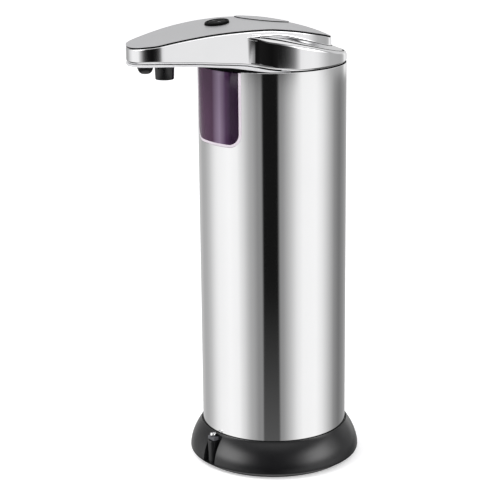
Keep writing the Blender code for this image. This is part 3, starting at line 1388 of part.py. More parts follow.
def make_nozzle(black, rubber):
    """The outlet: a dome below the plate, a flange above it and a barb for the hose."""
    place = (0.0, NOZZLE_Y)
    plate_top = groove_height(*place)
    flange_low = plate_top + GAP
    flange_high = flange_low + NOZZLE_FLANGE_HEIGHT
    shoulder = underside_height(*place) - GAP
    bottom = shoulder - NOZZLE_DROP
    profile = [(NOZZLE_MOUTH * 1.2, bottom)]
    for k in range(1, 5):
        turn = math.pi / 2 * k / 4
        spread = NOZZLE_RADIUS - NOZZLE_MOUTH * 1.2
        profile.append(
            (NOZZLE_MOUTH * 1.2 + spread * math.sin(turn), shoulder - NOZZLE_DROP * math.cos(turn))
        )
    lift = plate_top + NOZZLE_BARB_LIFT
    top = lift + NOZZLE_BARB_RADIUS + LAP
    profile += [(NOZZLE_RADIUS, flange_high), (NOZZLE_BARB_RADIUS * 1.5, flange_high + OVERRUN / 2)]
    profile.append((NOZZLE_BARB_RADIUS * 1.5, top))
    nozzle = turned("nozzle", profile, black, False, SMALL_STEPS, place)
    side = (-NOZZLE_FLANGE, NOZZLE_FLANGE)
    y_range = (-NOZZLE_FLANGE_FRONT, -NOZZLE_FLANGE_BACK)
    join(nozzle, box("flange", side, y_range, (flange_low, flange_high), black))
    end = NOZZLE_Y + NOZZLE_BARB_LENGTH
    barb = ((0.0, NOZZLE_Y, lift), (0.0, end, lift))
    join(nozzle, rod("barb", *barb, NOZZLE_BARB_RADIUS, black, FINE_STEPS))
    room_low = bottom + NOZZLE_MOUTH_HEIGHT
    room = disc("room", NOZZLE_BORE, room_low, lift, black, FINE_STEPS, place)
    mouth = disc("mouth", NOZZLE_MOUTH, bottom - OVERRUN, room_low + GAP, black, FINE_STEPS, place)
    way = rod("way", (0.0, NOZZLE_Y, lift), (0.0, end + OVERRUN, lift), NOZZLE_BARB_BORE, black, FINE_STEPS)
    cut(nozzle, room, mouth, way)
    low = room_low + GAP
    disc("nozzle_valve", NOZZLE_BORE - GAP, low, low + VALVE_HEIGHT, rubber, FINE_STEPS, place)


def make_barrel(black, tint):
    """The black barrel behind the outlet, with a lens set up inside its mouth."""
    place = (0.0, BARREL_Y)
    flange_low = groove_height(0.0, BARREL_Y - BARREL_FLANGE) + GAP
    flange_high = flange_low + BARREL_FLANGE_HEIGHT
    lens_top = BARREL_BOTTOM + LENS_RECESS + LENS_THICKNESS
    profile = [
        (BARREL_RADIUS - BARREL_TAPER, BARREL_BOTTOM), (BARREL_RADIUS, flange_low),
        (BARREL_FLANGE, flange_low), (BARREL_FLANGE, flange_high),
        (BARREL_BORE / 2, flange_high), (BARREL_BORE / 2, lens_top + GAP),
        (BARREL_BORE, lens_top + GAP), (BARREL_BORE, BARREL_BOTTOM),
    ]
    turned("sensor_barrel", profile, black, True, SMALL_STEPS, place)
    low = BARREL_BOTTOM + LENS_RECESS
    disc("sensor_lens", BARREL_BORE - GAP, low, lens_top, tint, SMALL_STEPS, place)


def make_sensor(black, board_green, tint):
    """The board, its two eyes and the black tray between them and the window."""
    wide = BOARD_HALF_WIDTH
    y_range = (-BOARD_FACE, -BOARD_BACK)
    box("sensor_board", (-wide, wide), y_range, (BOARD_BOTTOM, BOARD_TOP), board_green)
    front = TUBE_BORE - GAP - WINDOW_FLANGE_WALL - GAP
    outer = wide + SHROUD_WALL
    low, high = BOARD_BOTTOM - SHROUD_WALL, BOARD_TOP + SHROUD_WALL
    depth = (-TUBE_RADIUS, -SHROUD_BACK)
    shroud = box("sensor_shroud", (-outer, outer), depth, (low, high), black)
    inside = (-TUBE_RADIUS - OVERRUN, -SHROUD_BACK - SHROUD_WALL)
    room = box("room", (-wide, wide), inside, (BOARD_BOTTOM, BOARD_TOP), black)
    keep(shroud, disc("round", front, low - OVERRUN, high + OVERRUN, black, WIDE_STEPS))
    cut(shroud, room)
    for name, side in (("ir_emitter", -1.0), ("ir_receiver", 1.0)):
        x = side * EYE_SPACING / 2
        start = (x, -SHROUD_BACK, EYE_HEIGHT)
        through = (x, -SHROUD_BACK - SHROUD_WALL - OVERRUN, EYE_HEIGHT)
        back = (x, -SHROUD_BACK + OVERRUN, EYE_HEIGHT)
        cut(shroud, rod("hole", back, through, EYE_RADIUS + GAP, black))
        rings = []
        turn = Vector((0.0, -1.0, 0.0)).to_track_quat("Z", "Y")
        straight = EYE_FRONT - EYE_DOME
        levels = [(EYE_RADIUS, SHROUD_BACK), (EYE_RADIUS, straight)]
        for k in range(1, 5):
            angle = math.pi / 2 * k / 5
            levels.append((EYE_RADIUS * math.cos(angle), straight + EYE_DOME * math.sin(angle)))
        for radius, reach in levels:
            centre = Vector((x, -reach, start[2]))
            rings.append([centre + turn @ Vector((a, b, 0.0)) for a, b in circle(radius, 20)])
        solid(name, rings, tint)


def rounded_route(points, reach):
    """Straight runs between points, with each inner corner rounded off."""
    route = [points[0]]
    for before, corner, after in zip(points, points[1:], points[2:]):
        back, ahead = before - corner, after - corner
        start = corner + back * min(reach / back.length, 0.5)
        end = corner + ahead * min(reach / ahead.length, 0.5)
        for k in range(CORD_STEPS + 1):
            t = k / CORD_STEPS
            route.append(start.lerp(corner, t).lerp(corner.lerp(end, t), t))
    route.append(points[-1])
    return route


def cord(name, points, radius, reach, finish):
    """A round cord along a route with rounded corners and closed ends."""
    route = rounded_route([Vector(point) for point in points], reach)
    curve = bpy.data.curves.new(name, "CURVE")
    curve.dimensions = "3D"
    curve.bevel_depth = radius
    curve.bevel_resolution = 2
    curve.use_fill_caps = True
    spline = curve.splines.new("POLY")
    spline.points.add(len(route) - 1)
    for point, place in zip(spline.points, route):
        point.co = (*place, 1.0)
    made = bpy.data.objects.new(name, curve)
    made.data.materials.append(finish)
    bpy.context.collection.objects.link(made)


def make_hose(clear):
    """The soap hose, from the pump up the front channel and along the arm."""
    channel = -HOSE_CHANNEL
    lift = groove_height(0.0, NOZZLE_Y) + NOZZLE_BARB_LIFT
    end = NOZZLE_Y + NOZZLE_BARB_LENGTH + GAP
    points = [
        (0.0, BARB_END_Y - GAP, OUTLET_Z),
        (0.0, channel, OUTLET_Z + HOSE_RADIUS / 2),
        (0.0, channel, (TANK_BOTTOM + TANK_TOP) / 2),
        (0.0, channel, lift),
        (0.0, end, lift),
    ]
    cord("outlet_hose", points, HOSE_RADIUS, HOSE_BEND, clear)


def make_leads(black):
    """The lead from the sensor board to the motor, and the one up to the buttons."""
    cap_front = PUMP_Y - MOTOR_CAP_RADIUS
    cap_middle = (MOTOR_CAP_BOTTOM + MOTOR_BOTTOM) / 2
    points = [
        (LEAD_X, LEAD_Y, BOARD_BOTTOM - GAP),
        (LEAD_X, LEAD_Y, SLEEVE_TOP),
        (MOTOR_X, cap_front - LEAD_BEND, cap_middle),
        (MOTOR_X, cap_front - GAP, cap_middle),
    ]
    cord("power_lead", points, LEAD_RADIUS, LEAD_BEND, black)
    front = -(BUTTON_BOARD_FRONT + BUTTON_BOARD_BACK) / 2
    high = seam_height(0.0, front) - ARM_DEPTH / 2
    points = [
        (LEAD_X, front, button_board_top() - BOARD_THICKNESS - GAP),
        (LEAD_X, front, high),
        (LEAD_X, LEAD_Y, high - LEAD_BEND / 2),
        (LEAD_X, LEAD_Y, BOARD_TOP + GAP),
    ]
    cord("head_lead", points, LEAD_RADIUS, LEAD_BEND, black)


def shade_round_pieces():
    """Shades curved faces smooth and keeps the crisp edges."""
    for piece in bpy.data.objects:
        if piece.type == "MESH":
            piece.data.shade_smooth()
            piece.data.set_sharp_from_angle(angle=math.radians(35.0))


def main():
    clear_scene()
    steel = material("polished_steel", (0.78, 0.78, 0.79), 0.12, 1.0)
    chrome = material("chrome", (0.86, 0.86, 0.87), 0.08, 1.0)
    satin = material("satin_grey", (0.55, 0.55, 0.56), 0.38, 0.7)
    pale = material("pale_plastic", (0.72, 0.72, 0.73), 0.35)
    black = material("black_plastic", (0.02, 0.02, 0.022), 0.35)
    frame_plastic = material("frame_plastic", (0.10, 0.10, 0.11), 0.5)
    rubber = material("rubber", (0.03, 0.03, 0.03), 0.8)
    tint = material("purple_window", (0.13, 0.06, 0.13), 0.1, 0.0, 0.85)
    clear = material("clear_plastic", (0.82, 0.85, 0.86), 0.2, 0.0, 0.6)
    nylon = material("white_nylon", (0.85, 0.85, 0.82), 0.45)
    copper = material("contact_metal", (0.80, 0.76, 0.62), 0.3, 1.0)
    jacket = material("cell_jacket", (0.25, 0.25, 0.27), 0.35)
    board_green = material("circuit_board", (0.03, 0.18, 0.09), 0.5)

    make_tube(steel)
    make_window(tint)
    make_base(black, rubber, chrome)
    make_door(black, rubber, copper)
    make_cells(jacket)
    make_chassis(frame_plastic, copper)
    make_pump(frame_plastic, nylon, steel)
    make_motor(steel, frame_plastic)
    make_tank(clear, frame_plastic, rubber)
    make_neck(clear, rubber)
    make_head_shell(chrome)
    make_top_panel(satin)
    make_lid(satin, rubber)
    make_buttons(black, board_green)
    make_underplate(pale)
    make_head_screws(steel)
    make_nozzle(black, rubber)
    make_barrel(black, tint)
    make_sensor(black, board_green, tint)
    make_hose(clear)
    make_leads(black)
    shade_round_pieces()


main()
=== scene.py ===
# %% [markdown]
# # Automatic soap dispenser
# The real object is a polished steel tube on a black base, with a beak-shaped chrome head.
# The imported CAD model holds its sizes, its inside and its moving pieces. This lesson loads
# it as a fixed frame and dresses it: finer outer shells, real finishes, and a studio.

# %% Load the frame
import json
import math

import bmesh
import bpy
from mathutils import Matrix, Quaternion, Vector


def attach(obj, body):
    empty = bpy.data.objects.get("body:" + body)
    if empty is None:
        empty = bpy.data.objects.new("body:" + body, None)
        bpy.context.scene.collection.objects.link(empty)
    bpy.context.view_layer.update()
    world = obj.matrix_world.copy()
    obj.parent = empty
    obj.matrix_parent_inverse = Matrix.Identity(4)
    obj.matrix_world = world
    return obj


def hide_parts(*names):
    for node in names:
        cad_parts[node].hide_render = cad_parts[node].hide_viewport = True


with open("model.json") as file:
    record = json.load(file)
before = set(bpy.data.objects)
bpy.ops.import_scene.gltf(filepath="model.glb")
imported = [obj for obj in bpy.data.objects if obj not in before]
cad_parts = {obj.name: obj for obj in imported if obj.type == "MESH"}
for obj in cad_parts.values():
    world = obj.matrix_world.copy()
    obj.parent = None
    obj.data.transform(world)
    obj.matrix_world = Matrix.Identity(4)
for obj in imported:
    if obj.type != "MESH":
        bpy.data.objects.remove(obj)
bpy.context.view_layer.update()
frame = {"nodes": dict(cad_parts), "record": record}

# %% [markdown]
# ## Camera
# A picture and a model can only be compared from one viewpoint, so the camera comes first.
# Its place was worked out from the tube: its width, and how open its two round ends look,
# give the distance and the tilt. A long lens keeps the tube's sides almost parallel, and
# a roll of half a degree matches the picture, in which the tube leans a little.

# %% Camera
VIEW_TURN = math.radians(52.0)
VIEW_DISTANCE = 0.7320
VIEW_HEIGHT = 0.29653
VIEW_PITCH = 0.2688
VIEW_YAW = 0.0141
VIEW_ROLL = 0.0097
VIEW_LENS = 121.93

aside = Vector((math.cos(VIEW_TURN), math.sin(VIEW_TURN), 0.0))
ahead = Vector((-math.sin(VIEW_TURN), math.cos(VIEW_TURN), 0.0))
look = ahead * math.cos(VIEW_YAW) - aside * math.sin(VIEW_YAW)
look = look * math.cos(VIEW_PITCH) - Vector((0.0, 0.0, math.sin(VIEW_PITCH)))
camera = bpy.data.objects.new("camera", bpy.data.cameras.new("camera"))
camera.data.lens = VIEW_LENS
camera.location = -ahead * VIEW_DISTANCE + Vector((0.0, 0.0, VIEW_HEIGHT))
camera.rotation_mode = "QUATERNION"
roll_back = Quaternion((0.0, 0.0, 1.0), -VIEW_ROLL)
camera.rotation_quaternion = look.to_track_quat("-Z", "Y") @ roll_back
bpy.context.collection.objects.link(camera)
bpy.context.scene.camera = camera
bpy.context.scene.view_settings.view_transform = "Standard"
print("camera at", [round(value, 3) for value in camera.location])

# %% [markdown]
# ## Node maths in Python
# A finish is a network of nodes. Wiring it line by line is slow to read, so one small class
# wraps a socket: adding or multiplying two of them adds the Math node. A second class holds
# one node tree and has one method that adds any node.

# %% Sockets that do sums
class Wire:
    """A socket of one node tree, with Python's own operators."""

    def __init__(self, board, socket):
        self.board = board
        self.socket = socket

    def maths(self, operation, other, swapped=False):
        sides = (other, self) if swapped else (self, other)
        return self.board.add("ShaderNodeMath", {"operation": operation}, dict(enumerate(sides)))

    def __add__(self, other):
        return self.maths("ADD", other)

    def __sub__(self, other):
        return self.maths("SUBTRACT", other)

    def __mul__(self, other):
        return self.maths("MULTIPLY", other)

    def __truediv__(self, other):
        return self.maths("DIVIDE", other)

    def __rsub__(self, other):
        return self.maths("SUBTRACT", other, swapped=True)

    __radd__ = __add__
    __rmul__ = __mul__


class Board:
    """One node tree, the way to add a node to it, and its shader if it has one."""

    def __init__(self, tree, shader=None):
        self.tree = tree
        self.shader = shader

    def add(self, kind, settings=None, sockets=None, output=0):
        node = self.tree.nodes.new(kind)
        for name, value in (settings or {}).items():
            if name == "stops":
                ramp = node.color_ramp.elements
                while len(ramp) < len(value):
                    ramp.new(1.0)
                for stop, (position, colour) in zip(ramp, value):
                    stop.position = position
                    stop.color = colour if isinstance(colour, tuple) else (colour,) * 3 + (1.0,)
            else:
                setattr(node, name, value)
        for name, value in (sockets or {}).items():
            self.feed(node, name, value)
        return Wire(self, node.outputs[output]) if len(node.outputs) else None

    def feed(self, node, name, value):
        """Sets or links one input, found by number, by identifier or by name."""
        found = [node.inputs[name]] if isinstance(name, int) else [
            socket for socket in node.inputs if name in (socket.identifier, socket.name)
        ]
        if isinstance(value, Wire):
            self.tree.links.new(value.socket, found[0])
        else:
            found[0].default_value = value

    def place(self):
        return self.add("ShaderNodeTexCoord", output="Object")

    def split(self, vector):
        apart = self.add("ShaderNodeSeparateXYZ", sockets={"Vector": vector}).socket.node
        return [Wire(self, socket) for socket in apart.outputs]

    def noise(self, vector, scale, detail=2.0, roughness=0.5):
        sockets = {"Vector": vector, "Scale": scale, "Detail": detail, "Roughness": roughness}
        return self.add("ShaderNodeTexNoise", sockets=sockets)

    def stretched(self, vector, scale):
        """Squeezes or stretches a pattern along the axes."""
        return self.add("ShaderNodeMapping", sockets={"Vector": vector, "Scale": scale})

    def ease(self, value, low, high, start=0.0, end=1.0):
        """Goes smoothly from start to end as value goes from low to high."""
        sockets = {
            "Value": value, "From Min": low, "From Max": high, "To Min": start, "To Max": end,
        }
        return self.add("ShaderNodeMapRange", {"interpolation_type": "SMOOTHSTEP"}, sockets)

    def blend(self, share, first, second):
        """Mixes two colours; plain ones are given without their alpha."""
        first, second = [(*c, 1.0) if isinstance(c, tuple) else c for c in (first, second)]
        sockets = {"Factor_Float": share, "A_Color": first, "B_Color": second}
        return self.add("ShaderNodeMix", {"data_type": "RGBA"}, sockets, output=2)

    def paint(self, share, dark, light):
        """A base colour that drifts between two tones."""
        self.feed(self.shader, "Base Color", self.blend(share, dark, light))

    def rough(self, value):
        self.feed(self.shader, "Roughness", value)

    def bump(self, height, distance, strength):
        """A fine relief, too small to be shape."""
        sockets = {"Height": height, "Distance": distance, "Strength": strength}
        self.feed(self.shader, "Normal", self.add("ShaderNodeBump", sockets=sockets))


print("node helpers ready")

# %% [markdown]
# ## Studio
# Polished metal has no look of its own: it shows the room. The tube in the picture shows a
# white room with grey gaps and one narrow black flag, seen as long upright stripes. Walls
# that lean more look higher or lower into the room, and the picture shows other cards there.
# One ring of cards can't do that, so the world stacks several, as storeys: each is a table
# of (degrees round, level), and takes over as the reflected ray climbs between two heights.
# Low down, a pale floor would wash the black flag, so a grey glare is mixed in there.
# Only reflections see the room. The camera sees plain white, and matt surfaces are lit by an
# even grey-white sky and two large soft lamps. The floor is lifted to white for the camera
# alone, so that it still takes a shadow.

# %% Cards that the tube reflects
TUBE_CARDS = [
    (-180, 0.190), (-161, 0.295), (-128, 0.60), (-109, 0.585), (-89, 0.44), (-77, 0.464),
    (-66, 0.579), (-58, 0.732), (-50, 0.88), (-42, 0.97), (-20, 1.045), (-5, 0.988),
    (0, 0.855), (6, 0.724), (11, 0.572), (16, 0.452), (21, 0.40), (28.5, 0.268),
    (34.8, 0.272), (37.4, 0.008), (59.7, 0.008), (62.8, 0.275), (68, 0.325), (80, 0.592),
    (90, 0.855), (100, 0.998), (123, 1.026), (135, 0.88), (149, 0.592), (164, 0.299),
    (174, 0.219), (180, 0.190),
]
print(len(TUBE_CARDS), "stops for the tube")

# %% Cards for the head, the base and the deck
HEAD_CARDS = [
    (-180, 0.43), (-170, 0.47), (-158, 0.95), (-137, 0.66), (-105, 0.55), (-88, 0.41),
    (-80, 0.42), (-72, 0.53), (-64, 0.69), (-56, 0.82), (-40, 1.0), (-25, 1.0), (-10, 0.98),
    (-1, 0.64), (7, 0.36), (14, 0.15), (22, 0.05), (33, 0.012), (52, 0.006), (66, 0.014),
    (73, 0.035), (79, 0.08), (85, 0.18), (89, 0.34), (93, 0.62), (97, 0.90), (104, 0.96),
    (118, 0.97), (127, 0.90), (142, 0.615), (152, 0.48), (180, 0.43),
]
BASE_CARDS = [
    (-180, 0.14), (-120, 0.13), (-80, 0.08), (-60, 0.09), (-40, 0.30), (-26, 0.90), (-4, 0.95),
    (8, 0.55), (20, 0.14), (32, 0.02), (66, 0.02), (80, 0.08), (94, 0.35), (104, 0.80),
    (118, 0.95), (127, 0.85), (141, 0.33), (158, 0.08), (180, 0.14),
]
DECK_CARDS = [
    (-180, 0.86), (-100, 0.86), (-60, 0.25), (0, 0.10), (130, 0.10), (165, 0.50), (180, 0.86),
]
GROUND_CARDS = [(-180, 0.12), (180, 0.12)]
ZENITH_CARDS = [(-180, 0.95), (180, 0.95)]
print(len(HEAD_CARDS), len(BASE_CARDS), len(DECK_CARDS), "stops for head, base and deck")

# %% Room of cards
STOREYS = [
    (-0.80, -0.74, GROUND_CARDS, 1.0), (-0.45, -0.385, TUBE_CARDS, 1.0),
    (-0.168, -0.161, HEAD_CARDS, 1.0), (0.03, 0.12, BASE_CARDS, 5.0),
    (0.42, 0.52, DECK_CARDS, 1.0), (0.58, 0.72, ZENITH_CARDS, 1.0),
]
GLARE_START, GLARE_FULL, GLARE = -0.262, -0.46, 0.16
BELOW, EVEN_SKY, WHITE = (0.95, 0.95, 0.95), (0.62, 0.62, 0.63), (1.0, 1.0, 1.0)

world = bpy.data.worlds.new("studio")
bpy.context.scene.world = world
world.use_nodes = True
world.node_tree.nodes.clear()
room = Board(world.node_tree)
direction = room.add("ShaderNodeTexCoord", output="Generated")
east, north, lift = room.split(direction)
turn = east.maths("ARCTAN2", 0.0 - north) / (2 * math.pi) + 0.5
reflected = BELOW
for low, high, table, power in STOREYS:
    stops = [(degrees / 360 + 0.5, level) for degrees, level in table]
    cards = room.add("ShaderNodeValToRGB", {"stops": stops}, {"Fac": turn})
    if table is TUBE_CARDS:
        cards = cards.maths("MAXIMUM", room.ease(lift, GLARE_START, GLARE_FULL, 0.0, GLARE))
    reflected = room.blend(room.ease(lift, low, high), reflected, cards * power)
print(len(STOREYS), "storeys of cards round the room")

# %% Who sees the room
rays = room.add("ShaderNodeLightPath").socket.node.outputs
by_camera, by_gloss, through = [
    Wire(room, rays[f"Is {kind} Ray"]) for kind in ("Camera", "Glossy", "Transmission")
]
sky = room.blend(by_gloss.maths("MAXIMUM", through), EVEN_SKY, reflected)
shown = room.blend(by_camera, sky, WHITE)
backdrop = room.add("ShaderNodeBackground", sockets={"Color": shown, "Strength": 1.0})
room.add("ShaderNodeOutputWorld", sockets={"Surface": backdrop})
print("the camera sees white, reflections see the room")

# %% Soft lamps
LAMP_SIZE, LAMP_AIM = 0.9, Vector((0.0, 0.0, 0.1))
for name, place, power in (
    ("key_lamp", (-0.5, -0.9, 1.3), 13.0), ("fill_lamp", (1.2, -0.2, 0.9), 7.0),
):
    lamp = bpy.data.lights.new(name, "AREA")
    lamp.size = LAMP_SIZE
    lamp.energy = power
    made = bpy.data.objects.new(name, lamp)
    made.location = place
    made.rotation_mode = "QUATERNION"
    made.rotation_quaternion = (LAMP_AIM - made.location).to_track_quat("-Z", "Y")
    made.visible_glossy = made.visible_camera = False
    bpy.context.collection.objects.link(made)
    print(name, power, "watts")

# %% Finish helper
def finish(name, **constants):
    """A new material with constants set on its Principled shader, and its board."""
    made = bpy.data.materials.new(name)
    made.use_nodes = True
    shader = made.node_tree.nodes["Principled BSDF"]
    for socket, value in constants.items():
        shader.inputs[socket.replace("_", " ").title().replace("Ior", "IOR")].default_value = value
    print("finish", name)
    return made, Board(made.node_tree, shader)

# %% Pale floor
FLOOR_LIFT = 0.38
bpy.ops.mesh.primitive_plane_add(size=12.0)
floor = bpy.context.object
floor.name = "floor"
floor_finish, board = finish("floor_paper", roughness=0.9)
grain = board.noise(board.place(), 40.0)
board.paint(grain, (0.955, 0.955, 0.955), (0.965, 0.965, 0.965))
paper = Wire(board, board.shader.outputs["BSDF"])
glow = board.add("ShaderNodeEmission", sockets={"Strength": FLOOR_LIFT})
lit = board.add("ShaderNodeAddShader", sockets={0: paper, 1: glow})
seen = board.add("ShaderNodeLightPath", output="Is Camera Ray")
shade = board.add("ShaderNodeMixShader", sockets={0: seen, 1: paper, 2: lit})
board.feed(floor_finish.node_tree.nodes["Material Output"], "Surface", shade)
floor.data.materials.append(floor_finish)
floor.visible_glossy = False
print("floor laid")

# %% [markdown]
# ## Metals
# Each finish starts from the real surface: what it is made of, how it was worked, and what
# small unevenness that leaves. The tube is drawn and polished along its length, so its
# streaks run upwards and its reflections waver a little. The head is plated, which is almost
# a mirror. The cover has a satin coat with metal flakes in it. The noise scales are in
# metres, so 900 means features of about a millimetre.

# %% Polished steel
steel, board = finish("tube_steel", metallic=1.0)
place = board.place()
haze = board.noise(place, 55.0, 3.0)
streaks = board.noise(board.stretched(place, (1.0, 1.0, 0.03)), 2600.0, 2.0)
board.paint(haze, (0.875, 0.875, 0.88), (0.905, 0.905, 0.91))
board.rough(0.045 + streaks * 0.03 + haze * 0.02)
waves = board.noise(board.stretched(place, (1.0, 1.0, 0.35)), 60.0, 1.0)
board.bump(waves, 0.00002, 0.25)

# %% Bright chrome of the head
chrome, board = finish("head_chrome", metallic=1.0)
place = board.place()
haze = board.noise(place, 70.0, 3.0)
fine = board.noise(place, 5200.0, 2.0)
board.paint(haze, (0.84, 0.84, 0.85), (0.88, 0.88, 0.89))
board.rough(0.02 + fine * 0.015 + haze * 0.01)
board.bump(fine, 0.000002, 0.2)

# %% Satin grey coat of the cover
satin, board = finish("satin_coat", metallic=0.75)
place = board.place()
flakes = board.noise(place, 9000.0, 1.0)
cloud = board.noise(place, 45.0, 2.0)
board.paint(flakes, (0.50, 0.50, 0.51), (0.62, 0.62, 0.63))
board.rough(0.33 + flakes * 0.06 + cloud * 0.04)
board.bump(flakes, 0.000006, 0.35)

# %% [markdown]
# ## Blacks
# The base and the outlet are glossy black mouldings: a grain that is felt more than seen,
# and wider patches that are slightly duller where hands have been. The two share one
# recipe and differ in gloss. The button's black is nearly without shine, so that it reads
# as a hole in the pale cover, and rubber is rougher and a little lighter.

# %% Glossy black plastics
def glossy_black(name, grains, patches, dark, light, rough, relief, **constants):
    """Black plastic: (scale, effect on gloss) of its grain and of its duller patches."""
    made, board = finish(name, **constants)
    place = board.place()
    grain = board.noise(place, grains[0], 3.0)
    worn = board.noise(place, patches[0], 4.0, 0.6)
    board.paint(worn, dark, light)
    board.rough(rough + grain * grains[1] + worn * patches[1])
    board.bump(grain, relief, 0.2)
    return made


black = glossy_black(
    "black_gloss", (3600.0, 0.06), (120.0, 0.05), (0.003, 0.003, 0.0035),
    (0.007, 0.007, 0.0075), 0.15, 0.000008, specular_ior_level=0.5,
)
base_black = glossy_black(
    "base_gloss", (2400.0, 0.05), (90.0, 0.06), (0.004, 0.004, 0.0045),
    (0.010, 0.010, 0.011), 0.20, 0.00001, ior=1.5,
)

# %% Rubber
rubber, board = finish("matt_rubber")
grain = board.noise(board.place(), 2600.0, 4.0, 0.6)
board.paint(grain, (0.016, 0.016, 0.016), (0.034, 0.034, 0.034))
board.rough(0.62 + grain * 0.2)
board.bump(grain, 0.00003, 0.4)

# %% [markdown]
# ## Purple window
# The pane is tinted through and lies in front of a dark inside, so it could be made of real
# glass. But glass needs many samples and shows little here. A nearly opaque gloss is
# enough. Its colour carries painted light: a painted highlight in one upright band, where
# light crosses the curved pane, and painted shade that darkens it towards its +x edge.

# %% Purple window
WINDOW_ANGLE = 52.0
tint_and_painted_light, board = finish("tint_and_painted_light", specular_ior_level=0.15)
place = board.place()
east, north, lift = board.split(place)
turn = east.maths("ARCTAN2", 0.0 - north) * (180 / math.pi)
# Painted light: the lighter upright band is a painted highlight, and the darker stops on the +x
# side are painted shade.
tones = [
    (0.0, (0.085, 0.036, 0.080, 1.0)), (0.50, (0.072, 0.030, 0.068, 1.0)),
    (0.59, (0.20, 0.14, 0.215, 1.0)), (0.66, (0.27, 0.20, 0.29, 1.0)),
    (0.78, (0.075, 0.036, 0.085, 1.0)), (0.87, (0.028, 0.012, 0.033, 1.0)),
    (1.0, (0.022, 0.009, 0.026, 1.0)),
]
band = board.add("ShaderNodeValToRGB", {"stops": tones}, {"Fac": turn / WINDOW_ANGLE + 0.5})
board.feed(board.shader, "Base Color", band)
haze = board.noise(place, 900.0, 2.0)
board.rough(0.10 + haze * 0.06)
board.feed(board.shader, "Alpha", 0.95 - haze * 0.04)

# %% [markdown]
# ## Plain mouldings
# Everything else is an even material with a fine mottled grain: the trim, the keys, the
# window's rim, and the parts inside. The rim's pale pink is a painted highlight, standing for
# the light on the pane's bevelled edge. One function makes them all, from two tones and a
# gloss, so that each differs only in its numbers.

# %% Plain mouldings
def moulded(
    name, dark, light, rough, scale=2500.0, detail=3.0, spread=0.12, relief=0.00001, **constants,
):
    """A plain material with a fine grain in colour and gloss, and in relief if it has any."""
    made, board = finish(name, **constants)
    grain = board.noise(board.place(), scale, detail)
    board.paint(grain, dark, light)
    board.rough(rough + grain * spread)
    if relief:
        board.bump(grain, relief, 0.3)
    return made


pale = moulded(
    "pale_trim", (0.66, 0.66, 0.67), (0.72, 0.72, 0.73), 0.30, 4200.0, 2.0, 0.08, 0.000006,
)
key_black = moulded(
    "key_black", (0.002, 0.002, 0.002), (0.005, 0.005, 0.005), 0.34, 3200.0, 3.0, 0.08, None,
    specular_ior_level=0.02,
)
# Pale pink for the window's rim: a painted highlight for light on the pane's bevelled edge.
pale_rim_highlight = moulded(
    "window_rim_highlight", (0.70, 0.62, 0.69), (0.78, 0.71, 0.77), 0.16, 1200.0, 2.0, 0.08, None,
)
# Matt black for the head's seat ring, and for the dark strips of painted shade in the seams, in
# the deck's creases and round the lid.
seat_and_shade_black = moulded(
    "seat_and_shade_black", (0.002, 0.002, 0.002), (0.006, 0.006, 0.006), 0.75, specular_ior_level=0.06,
)

# %% Finishes of the inside
frame_black = moulded("frame_black", (0.08, 0.08, 0.09), (0.12, 0.12, 0.13), 0.42)
nylon = moulded("gear_nylon", (0.80, 0.80, 0.77), (0.87, 0.87, 0.84), 0.36)
contact = moulded("contact_plating", (0.76, 0.72, 0.58), (0.84, 0.80, 0.66), 0.22, metallic=1.0)
jacket = moulded("cell_jacket", (0.20, 0.20, 0.22), (0.28, 0.28, 0.30), 0.28, coat_weight=0.4)
laminate = moulded("board_green", (0.02, 0.15, 0.07), (0.04, 0.20, 0.10), 0.34)
clear = moulded("clear_moulding", (0.78, 0.82, 0.83), (0.84, 0.87, 0.88), 0.10, 300.0, alpha=0.45)

SLOT_FINISHES = {
    "polished_steel": steel, "chrome": chrome, "satin_grey": satin, "pale_plastic": pale,
    "black_plastic": black, "frame_plastic": frame_black, "rubber": rubber,
    "purple_window": tint_and_painted_light, "clear_plastic": clear, "white_nylon": nylon,
    "contact_metal": contact, "cell_jacket": jacket, "circuit_board": laminate,
}
for part in frame["record"]["subparts"]:
    frame["nodes"][part["node"]].material_slots[0].material = SLOT_FINISHES[part["material_slot"]]
print(len(SLOT_FINISHES), "finishes on the carried-over solids")

# %% [markdown]
# ## Ways to make a piece
# Round pieces are turned: a circle is added, extruded, lifted and scaled from one point of
# a profile to the next. Free-form pieces start as a flat grid that is rolled up through a
# list of rings. Holes are cut by a Boolean with a helper solid, and edges are rounded last.

# %% Turn a profile
WELD = 0.000002


def activate(piece):
    bpy.ops.object.select_all(action="DESELECT")
    piece.select_set(True)
    bpy.context.view_layer.objects.active = piece


def added(name):
    """The object that an operator has just added, under its name."""
    piece = bpy.context.object
    piece.name = piece.data.name = name
    return piece


def closed_up(piece):
    """Joins points that meet, turns all faces outwards, and leaves edit mode."""
    bpy.ops.mesh.select_all(action="SELECT")
    bpy.ops.mesh.remove_doubles(threshold=WELD)
    bpy.ops.mesh.normals_make_consistent(inside=False)
    bpy.ops.object.mode_set(mode="OBJECT")
    return piece


def turned(name, profile, steps=128, centre=(0.0, 0.0), closed=False):
    """Turns (radius, height) points about an upright axis; closed joins the last to the first."""
    radius, height = profile[0]
    bpy.ops.mesh.primitive_circle_add(
        vertices=steps, radius=radius, location=(*centre, height),
        fill_type="NOTHING" if closed else "NGON",
    )
    piece = added(name)
    bpy.ops.object.transform_apply(location=True, rotation=True, scale=True)
    bpy.ops.object.mode_set(mode="EDIT")
    bpy.ops.mesh.select_all(action="SELECT")
    grow = bpy.ops.mesh.extrude_edges_move if closed else bpy.ops.mesh.extrude_region_move
    loop = profile[1:] + profile[:1] if closed else profile[1:]
    for wide, high in loop:
        grow(TRANSFORM_OT_translate={"value": (0.0, 0.0, high - height)})
        share = wide / radius
        bpy.ops.transform.resize(value=(share, share, 1.0), center_override=(*centre, high))
        radius, height = wide, high
    return closed_up(piece)


print("turned() ready")

